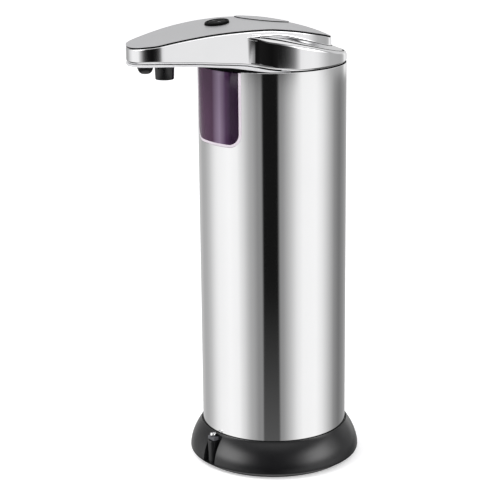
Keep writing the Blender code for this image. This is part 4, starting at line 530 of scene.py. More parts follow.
# %% Roll up a grid
def rolled(name, rings):
    """A grid primitive whose points are moved onto closed rings of equal length."""
    around, rows = len(rings[0]), len(rings)
    bpy.ops.mesh.primitive_grid_add(x_subdivisions=around, y_subdivisions=rows - 1, size=2.0)
    piece = added(name)
    for point in piece.data.vertices:
        k = round((point.co.x + 1) / 2 * around)
        row = round((point.co.y + 1) / 2 * (rows - 1))
        point.co = rings[row][k % around]
    bpy.ops.object.mode_set(mode="EDIT")
    return closed_up(piece)


print("rolled() ready")

# %% Modifiers that are applied at once
def modify(piece, kind, **settings):
    activate(piece)
    step = piece.modifiers.new(kind.lower(), kind)
    for name, value in settings.items():
        setattr(step, name, value)
    bpy.ops.object.modifier_apply(modifier=step.name)
    return piece


def cut(piece, tool, operation="DIFFERENCE"):
    modify(piece, "BOOLEAN", object=tool, operation=operation, solver="EXACT")
    bpy.data.objects.remove(tool)
    return piece


def rounded(piece, width, segments=3, angle=40.0):
    return modify(
        piece, "BEVEL", width=width, segments=segments, limit_method="ANGLE",
        angle_limit=math.radians(angle), harden_normals=False,
    )


def block(name, low, high):
    """A box between two corners."""
    low, high = Vector(low), Vector(high)
    bpy.ops.mesh.primitive_cube_add(size=1.0, location=(low + high) / 2)
    piece = added(name)
    piece.scale = high - low
    bpy.ops.object.transform_apply(location=True, rotation=True, scale=True)
    return piece


print("modify(), cut(), rounded() and block() ready")

# %% Hand a finished piece to its body
def fit(piece, slot, *nodes, body="dispenser", material=None, smooth=35.0):
    """Smooths a piece, gives it its finish, ties it to its body, and hides what it replaces."""
    piece.data.materials.clear()
    piece.data.materials.append(material or SLOT_FINISHES[slot])
    activate(piece)
    bpy.ops.object.shade_smooth_by_angle(angle=math.radians(smooth))
    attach(piece, body)
    if nodes:
        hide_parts(*nodes)
    print(piece.name, len(piece.data.polygons), "faces")
    return piece


print("fit() ready")

# %% [markdown]
# ## Head outlines
# Seen from above the head is a round collar with a tapering arm. The flanks are straight
# lines tangent to the round rear end, and a hollow blends the collar into them. Heights
# follow smooth curves along the arm, given as shares of its rise and its reach.

# %% Heights along the arm
TUBE_TOP = 0.180
TUBE_RADIUS = 0.0325
HEAD_RISE = 0.020
ARM_REACH = 0.0733
GAP = 0.0003

SEAM = [
    (-1.0, 0.645), (-0.965, 0.675), (-0.920, 0.697), (-0.835, 0.747), (-0.735, 0.798),
    (-0.600, 0.851), (-0.480, 0.877), (-0.360, 0.888), (-0.250, 0.882), (-0.200, 0.867),
    (-0.114, 0.828), (-0.025, 0.773), (0.088, 0.686), (0.153, 0.632), (0.352, 0.455),
]
GROOVE = [
    (-1.0, 0.322), (-0.960, 0.340), (-0.900, 0.340), (-0.800, 0.311), (-0.665, 0.274),
    (-0.500, 0.209), (-0.386, 0.151), (-0.322, 0.100), (-0.278, 0.062), (-0.235, 0.040),
    (-0.185, 0.024), (-0.150, 0.008), (-0.120, 0.0), (0.5, 0.0),
]
UNDERSIDE = [
    (-1.0, 0.250), (-0.925, 0.262), (-0.816, 0.241), (-0.680, 0.207), (-0.562, 0.160),
    (-0.479, 0.1255), (-0.413, 0.082), (-0.353, 0.040), (-0.307, 0.012), (-0.270, 0.0),
    (0.5, 0.0),
]
RIM = [
    (-0.600, 0.830), (-0.420, 0.775), (-0.327, 0.735), (-0.250, 0.685), (-0.190, 0.635),
    (-0.124, 0.576), (-0.048, 0.513), (0.068, 0.415), (0.194, 0.320), (0.300, 0.255),
    (0.450, 0.200),
]
CROWN = [
    (-1.0, 0.0), (-0.620, 0.012), (-0.470, 0.034), (-0.360, 0.072), (-0.250, 0.102),
    (-0.120, 0.115), (0.360, 0.115),
]


def curve(table, share):
    """A smooth curve through a table of (place, value) shares."""
    last = len(table) - 1
    low = 0
    while low < last - 1 and table[low + 1][0] < share:
        low += 1

    def slope(index):
        before, beyond = table[max(index - 1, 0)], table[min(index + 1, last)]
        return (beyond[1] - before[1]) / (beyond[0] - before[0])

    near, far = table[low], table[low + 1]
    span = far[0] - near[0]
    t = (share - near[0]) / span
    start, end, rise = slope(low) * span, slope(low + 1) * span, far[1] - near[1]
    if t > 1.0:
        return far[1] + slope(last) * (share - far[0])
    if t < 0.0:
        return near[1] + slope(0) * (share - near[0])
    return near[1] + t * (start + t * (3 * rise - 2 * start - end + t * (start + end - 2 * rise)))


def height_on(table, y):
    """A height above the floor, at a place along the arm."""
    return TUBE_TOP + HEAD_RISE * max(curve(table, y / ARM_REACH), 0.0)


print("seam at the tip", round(height_on(SEAM, -ARM_REACH), 4))

# %% Arm and collar in plan
NOSE_RADIUS = 0.0112
REAR_RADIUS = 0.0258
ROUND_STEPS, HOLLOW_STEPS, FLANK_STEPS, NOSE_STEPS = 60, 24, 30, 28

FLANK_ANGLE = math.asin((REAR_RADIUS - NOSE_RADIUS) / (ARM_REACH - NOSE_RADIUS))
OUTWARD = Vector((math.cos(FLANK_ANGLE), -math.sin(FLANK_ANGLE)))
FORWARD = Vector((-math.sin(FLANK_ANGLE), -math.cos(FLANK_ANGLE)))


def arc(hub, radius, start, end, count):
    """Points on an arc, without the last one."""
    angles = [start + (end - start) * k / count for k in range(count)]
    return [
        Vector((hub[0] + radius * math.cos(a), hub[1] + radius * math.sin(a))) for a in angles
    ]


def nose_half(inset=0.0):
    """From the end of the straight flank to the middle of the front."""
    hub = (0.0, NOSE_RADIUS - ARM_REACH)
    bend = arc(hub, NOSE_RADIUS - inset, -FLANK_ANGLE, -math.pi / 2, NOSE_STEPS)
    return bend + [Vector((0.0, inset - ARM_REACH))]


def between(first, second, count):
    return [first.lerp(second, k / count) for k in range(count)]


def hollow_hub(blend):
    """The centre of the hollow, and how far ahead on the flank it ends."""
    along = math.sqrt((TUBE_RADIUS + blend) ** 2 - (REAR_RADIUS + blend) ** 2)
    return OUTWARD * (REAR_RADIUS + blend) + FORWARD * along, along


def collar_half(blend):
    """Half the head's outline: round collar, hollow, flank and round nose."""
    hub, along = hollow_hub(blend)
    meet = math.atan2(hub[1], hub[0])
    collar = arc((0.0, 0.0), TUBE_RADIUS, math.pi / 2, meet, ROUND_STEPS)
    hollow = arc(hub, blend, meet + math.pi, math.pi - FLANK_ANGLE, HOLLOW_STEPS)
    nose = nose_half()
    flank = between(OUTWARD * REAR_RADIUS + FORWARD * along, nose[0], FLANK_STEPS)
    return collar + hollow + flank + nose


def arm_half(blend, inset=0.0):
    """The arm's own outline at the same stations, straight inwards from the collar's."""
    hub, along = hollow_hub(blend)
    meet = math.atan2(hub[1], hub[0])
    reach = REAR_RADIUS - inset
    points = []
    for k in range(ROUND_STEPS):
        angle = math.pi / 2 + (meet - math.pi / 2) * k / ROUND_STEPS
        past = -FLANK_ANGLE - angle
        distance = reach / math.cos(past) if past > 0 else reach
        points.append(Vector((math.cos(angle), math.sin(angle))) * distance)
    start = OUTWARD * reach + FORWARD * reach * math.tan(-FLANK_ANGLE - meet)
    end = OUTWARD * reach + FORWARD * along
    nose = nose_half(inset)
    points += between(start, end, HOLLOW_STEPS) + between(end, nose[0], FLANK_STEPS)
    return points + nose


def drawn_in(points, inset):
    """Moves a half outline inwards, square to its own run."""
    last = len(points) - 1
    moved = []
    for k, point in enumerate(points):
        along = (points[min(k + 1, last)] - points[max(k - 1, 0)]).normalized()
        moved.append(point + Vector((along.y, -along.x)) * inset)
    moved[last] = points[last] + Vector((0.0, inset))
    return moved


def both_sides(half):
    """A full ring of 3-D points from its right half."""
    half[0].x = half[-1].x = 0.0
    return half + [Vector((-p.x, p.y, p.z)) for p in half[-2:0:-1]]


print("flank turned", round(math.degrees(FLANK_ANGLE), 2), "degrees")

# %% [markdown]
# ## Head shell
# The chrome shell is one moulding: collar wall, rounded rim, sloping deck and the arm's
# wall. It could be cut from blocks, but Booleans leave seams that polished metal shows at
# once. Here each station round the outline carries one cross-section, so the reflections
# run on smoothly, and a Solidify modifier gives it its wall.

# %% Sizes of the cross-section
LOW_BLEND, HIGH_BLEND = 0.0090, 0.0110
RIM_FILLET = 0.0018
DECK_SLOPE = 0.403
SLOPE_ANGLE = math.atan(DECK_SLOPE)
COVE, COVE_STRETCH = 0.0006, 1.5
LIP, SHELL_WALL = 0.0004, 0.0012
SEAM_SHADOW = 0.0002
LINE_WIDTH, LINE_DEPTH = 0.0012, 0.0001
LINE_TAPER = [(-1.0, 1.0), (-0.60, 1.0), (-0.10, 0.75), (0.40, 0.55), (1.0, 0.5)]
HEM = [
    (0.00050, 0.0), (0.00042, 0.00016), (0.00026, 0.00048), (0.00012, 0.00072),
    (0.00010, 0.00086), (0.0, 0.00098),
]
WALL_ROWS, RIM_ROWS, DECK_ROWS, FOOT_ROWS, ARM_ROWS, LIP_ROWS = 14, 8, 5, 4, 4, 4
HOLLOW_END = ROUND_STEPS + HOLLOW_STEPS
EASE_STATIONS = 14


def shell_low(y):
    """The shell hangs almost to the groove, which keeps a thin gap to the band."""
    return height_on(GROOVE, y) + min(GAP, max(0.0, GAP + (y + 0.030) * 0.03))


def shell_top(y):
    """The shell ends just under the seam, and leaves room for the black strip of painted shade in
    it.
    """
    return height_on(SEAM, y) - GAP / 2 - SEAM_SHADOW


print("the shell ends", round(shell_top(-ARM_REACH), 5), "above the floor at the tip")

# %% Parts of one cross-section
def wall_part(k, stations, hems, rim_low):
    """The rolled-in hem, then the collar's wall up to its rounded rim."""
    rows = [(hem[k], shell_low(hem[k].y) + lift) for hem, (_, lift) in zip(hems, HEM)]
    for j in range(1, WALL_ROWS + 1):
        point = stations[j][k]
        low = shell_low(point.y) + HEM[-1][1]
        rows.append((point, low + (rim_low - low) * j / WALL_ROWS))
    return rows


def rim_part(edge, inward, fillet, rim_low):
    """The rounding from the wall over to the deck."""
    rows = []
    for j in range(1, RIM_ROWS + 1):
        angle = (math.pi / 2 - SLOPE_ANGLE) * j / RIM_ROWS
        over = inward * fillet * (1 - math.cos(angle))
        rows.append((edge + over, rim_low + fillet * math.sin(angle)))
    return rows


def deck_part(edge, inward, width, start, height):
    """A shallow bed for the dark line of painted shade, then the sloping deck, up to the arm's
    foot.
    """
    line = min(LINE_WIDTH * curve(LINE_TAPER, edge.y / TUBE_RADIUS), 0.42 * width)
    depth = min(LINE_DEPTH, 0.2 * line)
    rows = [
        (edge + inward * (start + 0.1 * line), height - depth),
        (edge + inward * (start + line), height - depth + DECK_SLOPE * line),
    ]
    reach = width - min(COVE, 0.3 * width) - (start + line)
    for j in range(1, DECK_ROWS + 1):
        share = j / DECK_ROWS
        sag = depth * (1 - share) ** 8
        climb = DECK_SLOPE * (line + reach * share)
        rows.append((edge + inward * (start + line + reach * share), height + climb - sag))
    return rows


def foot_part(edge, inward, width, height):
    """A small cove that turns from the deck up into the arm's wall."""
    cove = min(COVE, 0.3 * width)
    rows = []
    for j in range(1, FOOT_ROWS + 1):
        angle = SLOPE_ANGLE + (math.pi / 2 - SLOPE_ANGLE) * j / FOOT_ROWS
        push = (math.sin(angle) - math.sin(SLOPE_ANGLE)) / (1 - math.sin(SLOPE_ANGLE))
        climb = cove * (math.cos(SLOPE_ANGLE) - math.cos(angle)) * COVE_STRETCH
        rows.append((edge + inward * (width - cove + cove * push), height + climb))
    return rows


def arm_part(foot, low, top):
    """The arm's own wall, straight up to its lip."""
    return [(foot, low + (top - LIP - low) * j / ARM_ROWS) for j in range(1, ARM_ROWS + 1)]


def fade_into_flank(column, k, top):
    """Past the hollow there is no deck: the rows spread evenly up the flank."""
    away = min((k - HOLLOW_END) / EASE_STATIONS, 1.0)
    ease = away * away * (3 - 2 * away)
    start = len(HEM) - 1
    base, rows = column[start][1], len(column) - 1 - start
    for j in range(start, len(column)):
        point, z = column[j]
        column[j] = (point, z + (base + (top - LIP - base) * (j - start) / rows - z) * ease)


print("six parts of a cross-section")

# %% Head shell
def shell_columns():
    """One cross-section for each station round the outline, from the hem up to the lip."""
    spread = HIGH_BLEND - LOW_BLEND
    stations = [collar_half(LOW_BLEND + spread * j / WALL_ROWS) for j in range(WALL_ROWS + 1)]
    hems = [drawn_in(stations[0], inset) for inset, _ in HEM]
    columns = []
    for k, foot in enumerate(arm_half(HIGH_BLEND)):
        edge = stations[-1][k]
        width = (foot - edge).length if k < HOLLOW_END else 0.0
        inward = (foot - edge).normalized() if width > 1e-6 else Vector((0.0, 0.0))
        fillet = min(RIM_FILLET, 0.5 * width)
        rim_low = height_on(RIM, edge.y) - fillet
        over = fillet * (1 - math.cos(math.pi / 2 - SLOPE_ANGLE))
        top = shell_top(foot.y)
        column = wall_part(k, stations, hems, rim_low)
        column += rim_part(edge, inward, fillet, rim_low)
        column += deck_part(edge, inward, width, over, column[-1][1])
        column += foot_part(edge, inward, width, column[-1][1])
        column += arm_part(foot, column[-1][1], top)
        if k >= HOLLOW_END:
            fade_into_flank(column, k, top)
        columns.append(column)
    return columns


def shell_rings(columns):
    """The cross-sections read level by level, and the lip rounded over on top."""
    rings = [
        both_sides([Vector((*column[j][0], column[j][1])) for column in columns])
        for j in range(len(columns[0]))
    ]
    for j in range(1, LIP_ROWS + 1):
        angle = math.pi / 2 * j / LIP_ROWS
        inner = arm_half(HIGH_BLEND, LIP * (1 - math.cos(angle)))
        rings.append(both_sides([
            Vector((*point, shell_top(point.y) - LIP * (1 - math.sin(angle)))) for point in inner
        ]))
    return rings


SHELL = shell_columns()
head_shell = rolled("head_shell_fine", shell_rings(SHELL))
modify(head_shell, "SOLIDIFY", thickness=SHELL_WALL, offset=-1.0, use_even_offset=False)
fit(head_shell, "chrome", "head_shell", smooth=38.0)

# %% [markdown]
# ## Painted shade lines on the deck
# Two thin dark lines run round the deck: one in the bed behind the rim, one at the arm's
# foot. They are painted shade, dark strips that stand for the shadow in these creases. They
# could be painted by the shader, but a strip of geometry stays sharp from every side. Each
# strip takes two neighbouring rings of the shell, and stands a hair proud of them. Past the
# hollow the line ends, so there the strip runs inside the shell's wall.

# %% Painted shade lines on the deck
RIM_LINE = len(HEM) + WALL_ROWS + RIM_ROWS
FOOT_LINE = RIM_LINE + 2 + DECK_ROWS
STRIP_DEPTH, HIDDEN_INSET, HIDDEN_DROP = 0.0004, 0.0006, 0.0008


def deck_shade_strip(name, low, proud, end):
    """A dark strip of painted shade from ring low to the next, in sight up to station end."""
    hidden = arm_half(HIGH_BLEND, HIDDEN_INSET)
    high = low + 1
    loop = [(low, -STRIP_DEPTH), (high, -STRIP_DEPTH), (high, proud), (low, proud)]
    rings = []
    for row, lift in loop + loop[:1]:
        half = []
        for k, column in enumerate(SHELL):
            point, z = column[row]
            if k >= end:
                point, z = hidden[k], z - HIDDEN_DROP
            half.append(Vector((*point, z + lift)))
        rings.append(both_sides(half))
    fit(rolled(name, rings), "chrome", "head_shell", material=seat_and_shade_black)


deck_shade_strip("rim_shade_line", RIM_LINE, 0.00005, ROUND_STEPS + 11)
deck_shade_strip("foot_shade_line", FOOT_LINE, 0.00006, ROUND_STEPS + 2)

# %% [markdown]
# ## Top panel
# The satin cover is a gently crowned skin on the arm's outline. Rings narrow towards the
# middle line and rise with the crown, and the same rings lower down close it from below.
# The lid's seat, the button's hole and the dish behind the lid are cut with helper solids
# that follow the same crown.

# %% Crown of the panel
PANEL_EDGE = 0.0002
LID_Y, LID_RADIUS = -0.0055, 0.0115
ARM_PLAN = arm_half(HIGH_BLEND)


def half_width(y):
    """Half the arm's width at a place along it."""
    for back, front in zip(ARM_PLAN, ARM_PLAN[1:]):
        if back.y >= y > front.y:
            share = (back.y - y) / (back.y - front.y)
            return back.x + (front.x - back.x) * share
    return 0.0


def crown(x, y, offset=0.0):
    """The panel's top surface, or a surface above or below it."""
    width = max(half_width(y), GAP)
    across = min(abs(x) / width, 1.0)
    edge = height_on(SEAM, y) + GAP / 2 + PANEL_EDGE
    return edge + curve(CROWN, y / ARM_REACH) * width * (1 - across**2) + offset


print("crown at the lid", round(crown(0.0, LID_Y), 5))

# %% Panel skin
NARROWING = [
    0.004, 0.010, 0.02, 0.035, 0.055, 0.09, 0.14, 0.20, 0.27, 0.35, 0.44, 0.54, 0.65, 0.77,
    0.89, 1.0,
]
PANEL_SKIN, RIB_INSET = 0.0018, 0.0016


def seam_ring(inset, lift):
    """A ring inside the arm's outline, at a height above the seam."""
    return both_sides([
        Vector((*p, height_on(SEAM, p.y) + lift)) for p in arm_half(HIGH_BLEND, inset)
    ])


def crown_ring(inset, share, offset):
    """One ring of the crown, narrowed towards the middle line."""
    half = [(p.x * (1 - share), p.y) for p in arm_half(HIGH_BLEND, inset)]
    return both_sides([Vector((x, y, crown(x, y, offset))) for x, y in half])


panel_rings = [crown_ring(RIB_INSET, share, -PANEL_SKIN) for share in NARROWING[:4:-1]]
panel_rings.append(crown_ring(RIB_INSET, 0.0, -PANEL_SKIN))
panel_rings += [seam_ring(inset, GAP / 2 + lift) for inset, lift in (
    (RIB_INSET, 0.0001), (0.0002, 0.0001), (0.00006, 0.00013), (0.0, 0.00018), (0.0, PANEL_EDGE),
)]
panel_rings += [crown_ring(0.0, share, 0.0) for share in NARROWING]
top_panel = rolled("top_panel_fine", panel_rings)
print("panel", len(top_panel.data.polygons), "faces")

# %% Black strip of painted shade in the seam
# The strip is painted shade: a black sheet that stands for the shadow in the gap between shell and
# panel.
seam_shade = rolled("panel_shade_strip", [seam_ring(inset, lift) for inset, lift in (
    (0.0013, -0.0008), (0.00036, -0.0008), (0.00030, -0.0006), (0.00030, 0.0002),
    (0.0004, 0.00024), (0.0013, 0.00024), (0.0013, -0.0008),
)])
fit(seam_shade, "satin_grey", "top_panel", material=seat_and_shade_black)

# %% Pieces that follow the crown
def crowned(name, y, profile, steps=96):
    """Rings round a centre on the middle line: (radius, offset from the crown) pairs."""
    angles = [2 * math.pi * k / steps for k in range(steps)]
    rings = []
    for radius, offset in profile:
        points = [(radius * math.cos(a), y + radius * math.sin(a)) for a in angles]
        rings.append([Vector((px, py, crown(px, py, offset))) for px, py in points])
    return rolled(name, rings)


print("crowned() ready")

# %% Seats and dish in the panel
BUTTON_Y, BEZEL_RADIUS = -0.0294, 0.0052
DISH_Y, DISH_RADIUS, DISH_DEPTH = 0.0096, 0.0060, 0.0010
ABOVE = 0.002
for name, y, radius, depth in (
    ("lid_seat", LID_Y, LID_RADIUS + GAP, 0.0012),
    ("button_seat", BUTTON_Y, BEZEL_RADIUS + GAP / 2, 0.004),
):
    tool = crowned(name, y, [(0.0, -depth), (radius, -depth), (radius, ABOVE), (0.0, ABOVE)])
    cut(top_panel, tool)
dish = [
    (DISH_RADIUS * share, -DISH_DEPTH * (1 - share**2))
    for share in (0.0, 0.2, 0.4, 0.6, 0.8, 0.92, 1.0)
]
cut(top_panel, crowned("dish", DISH_Y, dish + [(DISH_RADIUS + 0.0002, ABOVE), (0.0, ABOVE)]))
fit(top_panel, "satin_grey", "top_panel", smooth=28.0)

# %% [markdown]
# ## Filler lid
# The round lid lies almost flush in the panel, and its edge is rolled over so that it
# catches a thin light. It is a disc of rings on the same crown.

# %% Filler lid
LID_RAISE, LID_ROLL = 0.0004, 0.0003
roll = [
    (LID_RADIUS - LID_ROLL * (1 - math.cos(a)), LID_RAISE - LID_ROLL * (1 - math.sin(a)))
    for a in [math.pi / 2 * k / 5 for k in range(6)]
]
lid = crowned("filler_lid_fine", LID_Y, [
    (0.0, -0.0009), (LID_RADIUS - 0.0003, -0.0009), (LID_RADIUS, -0.0006), *roll,
    *[(radius, LID_RAISE) for radius in (0.0095, 0.0070, 0.0040, 0.0015, 0.0)],
])
fit(lid, "satin_grey", "filler_lid", body="filler_lid", smooth=40.0)

# %% Dark line of painted shade round the lid
SEAT_IN, SEAT_OUT = LID_RADIUS + 0.00004, LID_RADIUS + 0.00027
# A black strip in the gap round the lid, as painted shade.
lid_shade_line = crowned("lid_seat_shade_line", LID_Y, [
    (SEAT_IN, -0.0008), (SEAT_OUT, -0.0008), (SEAT_OUT, 0.0003), (SEAT_IN, 0.0003),
    (SEAT_IN, -0.0008),
])
fit(lid_shade_line, "satin_grey", "top_panel", material=seat_and_shade_black)

# %% [markdown]
# ## Buttons
# Two half-round keys share one black ring. Each has a small dim mark, plus and minus.
# The keys are cut from one disc; the marks are thin raised bars.

# %% Button ring and keys
BEZEL_RAISE, KEY_RAISE, KEY_GAP, HALF_BLOCK = 0.0010, 0.0009, 0.0005, 0.006
bezel = crowned("button_ring_fine", BUTTON_Y, [
    (0.0042, -0.0010), (BEZEL_RADIUS, -0.0010), (BEZEL_RADIUS, 0.0006),
    (BEZEL_RADIUS - 0.0001, 0.00085), (BEZEL_RADIUS - 0.0003, 0.00097),
    (BEZEL_RADIUS - 0.0005, BEZEL_RAISE), (0.0044, BEZEL_RAISE), (0.00425, 0.0009),
    (0.0042, 0.0007), (0.0042, -0.0010),
], 72)
fit(bezel, "black_plastic", "button_bezel", material=key_black)

for name, side in (("plus", 1.0), ("minus", -1.0)):
    key = crowned(f"{name}_key_fine", BUTTON_Y, [
        (0.0, -0.0027), (0.0039, -0.0027), (0.0039, KEY_RAISE - 0.00015),
        (0.00382, KEY_RAISE - 0.00004), (0.0037, KEY_RAISE), (0.0025, KEY_RAISE),
        (0.0012, KEY_RAISE), (0.0, KEY_RAISE),
    ], 72)
    far, near = sorted((-side * HALF_BLOCK, side * KEY_GAP / 2))
    low, high = (far, BUTTON_Y - HALF_BLOCK, 0.18), (near, BUTTON_Y + HALF_BLOCK, 0.21)
    cut(key, block("half", low, high))
    fit(key, "black_plastic", f"{name}_button", body=f"{name}_button", material=key_black)

# %% Plus and minus marks
MARK_X, MARK_LONG, MARK_THICK = 0.0020, 0.0018, 0.0004
mark_grey, board = finish("mark_grey", roughness=0.4)
speckle = board.noise(board.place(), 4000.0)
board.paint(speckle, (0.10, 0.10, 0.105), (0.14, 0.14, 0.15))


def mark_bar(name, x, long_x, long_y):
    """A thin raised bar on a key, at the crown's height."""
    level = crown(x, BUTTON_Y, KEY_RAISE)
    return block(
        name, (x - long_x / 2, BUTTON_Y - long_y / 2, level - 0.00012),
        (x + long_x / 2, BUTTON_Y + long_y / 2, level + 0.00004),
    )


for name, x in (("plus", MARK_X), ("minus", -MARK_X)):
    bar = mark_bar(f"{name}_mark", x, MARK_LONG, MARK_THICK)
    if name == "plus":
        cut(bar, mark_bar("upright", x, MARK_THICK, MARK_LONG), "UNION")
    rounded(bar, 0.00004, 2)
    fit(bar, "white_nylon", body=f"{name}_button", material=mark_grey)

# %% [markdown]
# ## Trim under the arm
# A pale band closes the arm from below and shows as a thin line along its lower edge. The
# ring that carries the head is black. A thin black line on the tube's top and a black piece
# in front are painted shade, so the joint reads as a dark line that widens in front.

# %% Pale band
BAND_END = -0.0125
OUTLET_Y, OUTLET_HOLE = -0.06615, 0.0037
EYE_Y, EYE_HOLE = -0.0566, 0.0045


def band_half(inset=0.0):
    """The head's outline from the collar's side round to the tip."""
    return drawn_in([p.copy() for p in collar_half(LOW_BLEND) if p.y <= BAND_END], inset)


def band_top(y):
    return max(shell_low(y) - GAP, band_low(y) + 0.00009)


def band_low(y):
    return height_on(UNDERSIDE, y) + GAP


def band_ring(inset, height, squeeze=1.0):
    half = [Vector((p.x * squeeze, p.y, height(p.y))) for p in band_half(inset)]
    return half + [Vector((-p.x, p.y, p.z)) for p in half[-2::-1]]


EDGE = 0.0003
band_rings = [
    band_ring(EDGE, band_low, 0.0),
    band_ring(EDGE, band_low, 0.5),
    band_ring(EDGE, band_low, 0.9),
    band_ring(EDGE, band_low),
    band_ring(EDGE * 0.3, lambda y: band_low(y) + EDGE * 0.3),
    band_ring(0.0, lambda y: min(band_low(y) + EDGE, band_top(y) - GAP / 2)),
    band_ring(0.0, lambda y: band_top(y) - GAP / 3),
    band_ring(EDGE / 3, band_top),
    band_ring(EDGE / 3, band_top, 0.5),
    band_ring(EDGE / 3, band_top, 0.0),
]
band = rolled("under_band", band_rings)
for name, y, radius in (("outlet_hole", OUTLET_Y, OUTLET_HOLE), ("eye_hole", EYE_Y, EYE_HOLE)):
    cut(band, turned(name, [(radius, 0.175), (radius, 0.195)], 64, (0.0, y)))
cut(band, turned("bore", [(0.0270, 0.178), (0.0270, 0.19)], 128))
fit(band, "pale_plastic", "arm_underplate", smooth=30.0)

# %% Black seat ring and painted shade in the joint
for name, profile in (
    ("head_seat_ring", [
        (0.0272, 0.1803), (0.0303, 0.1803), (0.0303, 0.1813), (0.0292, 0.1813),
        (0.0292, 0.1827), (0.0272, 0.1827),
    ]),
    # Painted shade: the black front piece and the thin black line on the tube's top stand for the
    # shadow in the joint.
    ("head_seat_front", [(0.0300, 0.1801), (0.0322, 0.1801), (0.0322, 0.1826), (0.0300, 0.1826)]),
    ("head_seat_line", [(0.0306, 0.18002), (0.0323, 0.18002), (0.0323, 0.1803), (0.0306, 0.1803)]),
):
    ring = turned(name, profile, 128, closed=True)
    if name == "head_seat_front":
        cut(ring, block("rear", (-0.04, -0.0165, 0.17), (0.04, 0.04, 0.19)))
    fit(ring, "pale_plastic", "arm_underplate", material=seat_and_shade_black)

# %% [markdown]
# ## Tube and window
# The tube is drawn steel with a slot for the window. After the slot is cut, the wall's
# shading would ripple where faces were split, so its corners are given truly round normals.
# The pane is tinted, and the light on its bevelled edge is a painted highlight: a pale rim,
# a piece of its own.

# %% Steel tube
TUBE_BORE, TUBE_BOTTOM = 0.0319, 0.016
WINDOW_HALF, WINDOW_LOW, WINDOW_CORNER = 0.0155, 0.1473, 0.0062


def slot_solid(name, half, low, corner, top=0.182):
    """An upright plate with two round lower corners, to cut or keep the tube's front."""
    piece = block(name, (-half, -0.040, low), (half, -0.005, top))
    activate(piece)
    bpy.ops.object.mode_set(mode="EDIT")
    bpy.ops.mesh.select_all(action="DESELECT")
    shape = bmesh.from_edit_mesh(piece.data)
    for edge in shape.edges:
        first, second = [end.co for end in edge.verts]
        level = max(abs(first.z - low), abs(second.z - low)) < 1e-6
        edge.select = level and abs(first.x - second.x) < 1e-6
    bmesh.update_edit_mesh(piece.data)
    bpy.ops.mesh.bevel(offset=corner, segments=12, affect="EDGES")
    bpy.ops.object.mode_set(mode="OBJECT")
    return piece


def true_round(piece, radius):
    """Gives the wall at one radius exact round normals, and leaves the rest as it is."""
    mesh = piece.data
    normals = [corner.vector.copy() for corner in mesh.corner_normals]
    for face in mesh.polygons:
        middle = face.center
        out = Vector((middle.x, middle.y, 0.0)).normalized()
        if abs(face.normal.dot(out)) > 0.98:
            sign = 1.0 if face.normal.dot(out) > 0 else -1.0
            for index in face.loop_indices:
                spot = mesh.vertices[mesh.loops[index].vertex_index].co
                if abs(math.hypot(spot.x, spot.y) - radius) < 0.00002:
                    normals[index] = Vector((spot.x, spot.y, 0.0)).normalized() * sign
    mesh.normals_split_custom_set(normals)


TUBE_EDGE = 0.00012
tube = turned("steel_tube_fine", [
    (TUBE_BORE, TUBE_BOTTOM), (TUBE_RADIUS - TUBE_EDGE, TUBE_BOTTOM),
    (TUBE_RADIUS, TUBE_BOTTOM + TUBE_EDGE), (TUBE_RADIUS, TUBE_TOP - TUBE_EDGE),
    (TUBE_RADIUS - TUBE_EDGE, TUBE_TOP), (TUBE_BORE, TUBE_TOP),
], 256, closed=True)
cut(tube, slot_solid("slot", WINDOW_HALF, WINDOW_LOW, WINDOW_CORNER))
fit(tube, "polished_steel", "steel_tube")
true_round(tube, TUBE_RADIUS)

# %% Window pane and its rim of painted highlight
WINDOW_RIM, WINDOW_FIT = 0.0012, 0.0001
SKIN_BORE, SKIN_LOW, SKIN_TOP = 0.0316, 0.146, 0.1797


def smaller_slot(name, margin):
    """The slot's shape less a margin all round."""
    return slot_solid(name, WINDOW_HALF - margin, WINDOW_LOW + margin, WINDOW_CORNER - margin)


def window_skin(name, margin):
    """A piece of the tube's own round, cut to the slot less a margin."""
    skin = turned(name, [
        (SKIN_BORE, SKIN_LOW), (TUBE_RADIUS, SKIN_LOW), (TUBE_RADIUS, SKIN_TOP),
        (SKIN_BORE, SKIN_TOP),
    ], 256, closed=True)
    return cut(skin, smaller_slot("shape", margin), "INTERSECT")


pane = window_skin("window_pane", WINDOW_RIM)
# The rim's pale finish is a painted highlight on the bevelled edge.
rim = cut(window_skin("window_rim_highlight", WINDOW_FIT), smaller_slot("opening", WINDOW_RIM))
for piece, finish_here in ((pane, tint_and_painted_light), (rim, pale_rim_highlight)):
    rounded(piece, 0.0002, 2, 50.0)
    fit(piece, "purple_window", "sensor_window", material=finish_here)

# %% [markdown]
# ## Outlet and downward eye
# Under the tip hang a small black dome, where the soap comes out, and behind it a short
# barrel with a lens.

# %% Outlet dome
DOME_RADIUS, DOME_FLAT, DOME_TOP, DOME_DROP = 0.0034, 0.0012, 0.1852, 0.0035
dome = [
    (DOME_FLAT + (DOME_RADIUS - DOME_FLAT) * math.sin(a), DOME_TOP - DOME_DROP * math.cos(a))
    for a in [math.pi / 2 * k / 12 for k in range(13)]
]
nozzle = turned("outlet_dome", dome + [(DOME_RADIUS, 0.1876)], 64, (0.0, OUTLET_Y))
cut(nozzle, turned("mouth", [(0.0010, 0.178), (0.0010, 0.1840)], 32, (0.0, OUTLET_Y)))
rounded(nozzle, 0.00015, 2, 50.0)
fit(nozzle, "black_plastic", "nozzle")

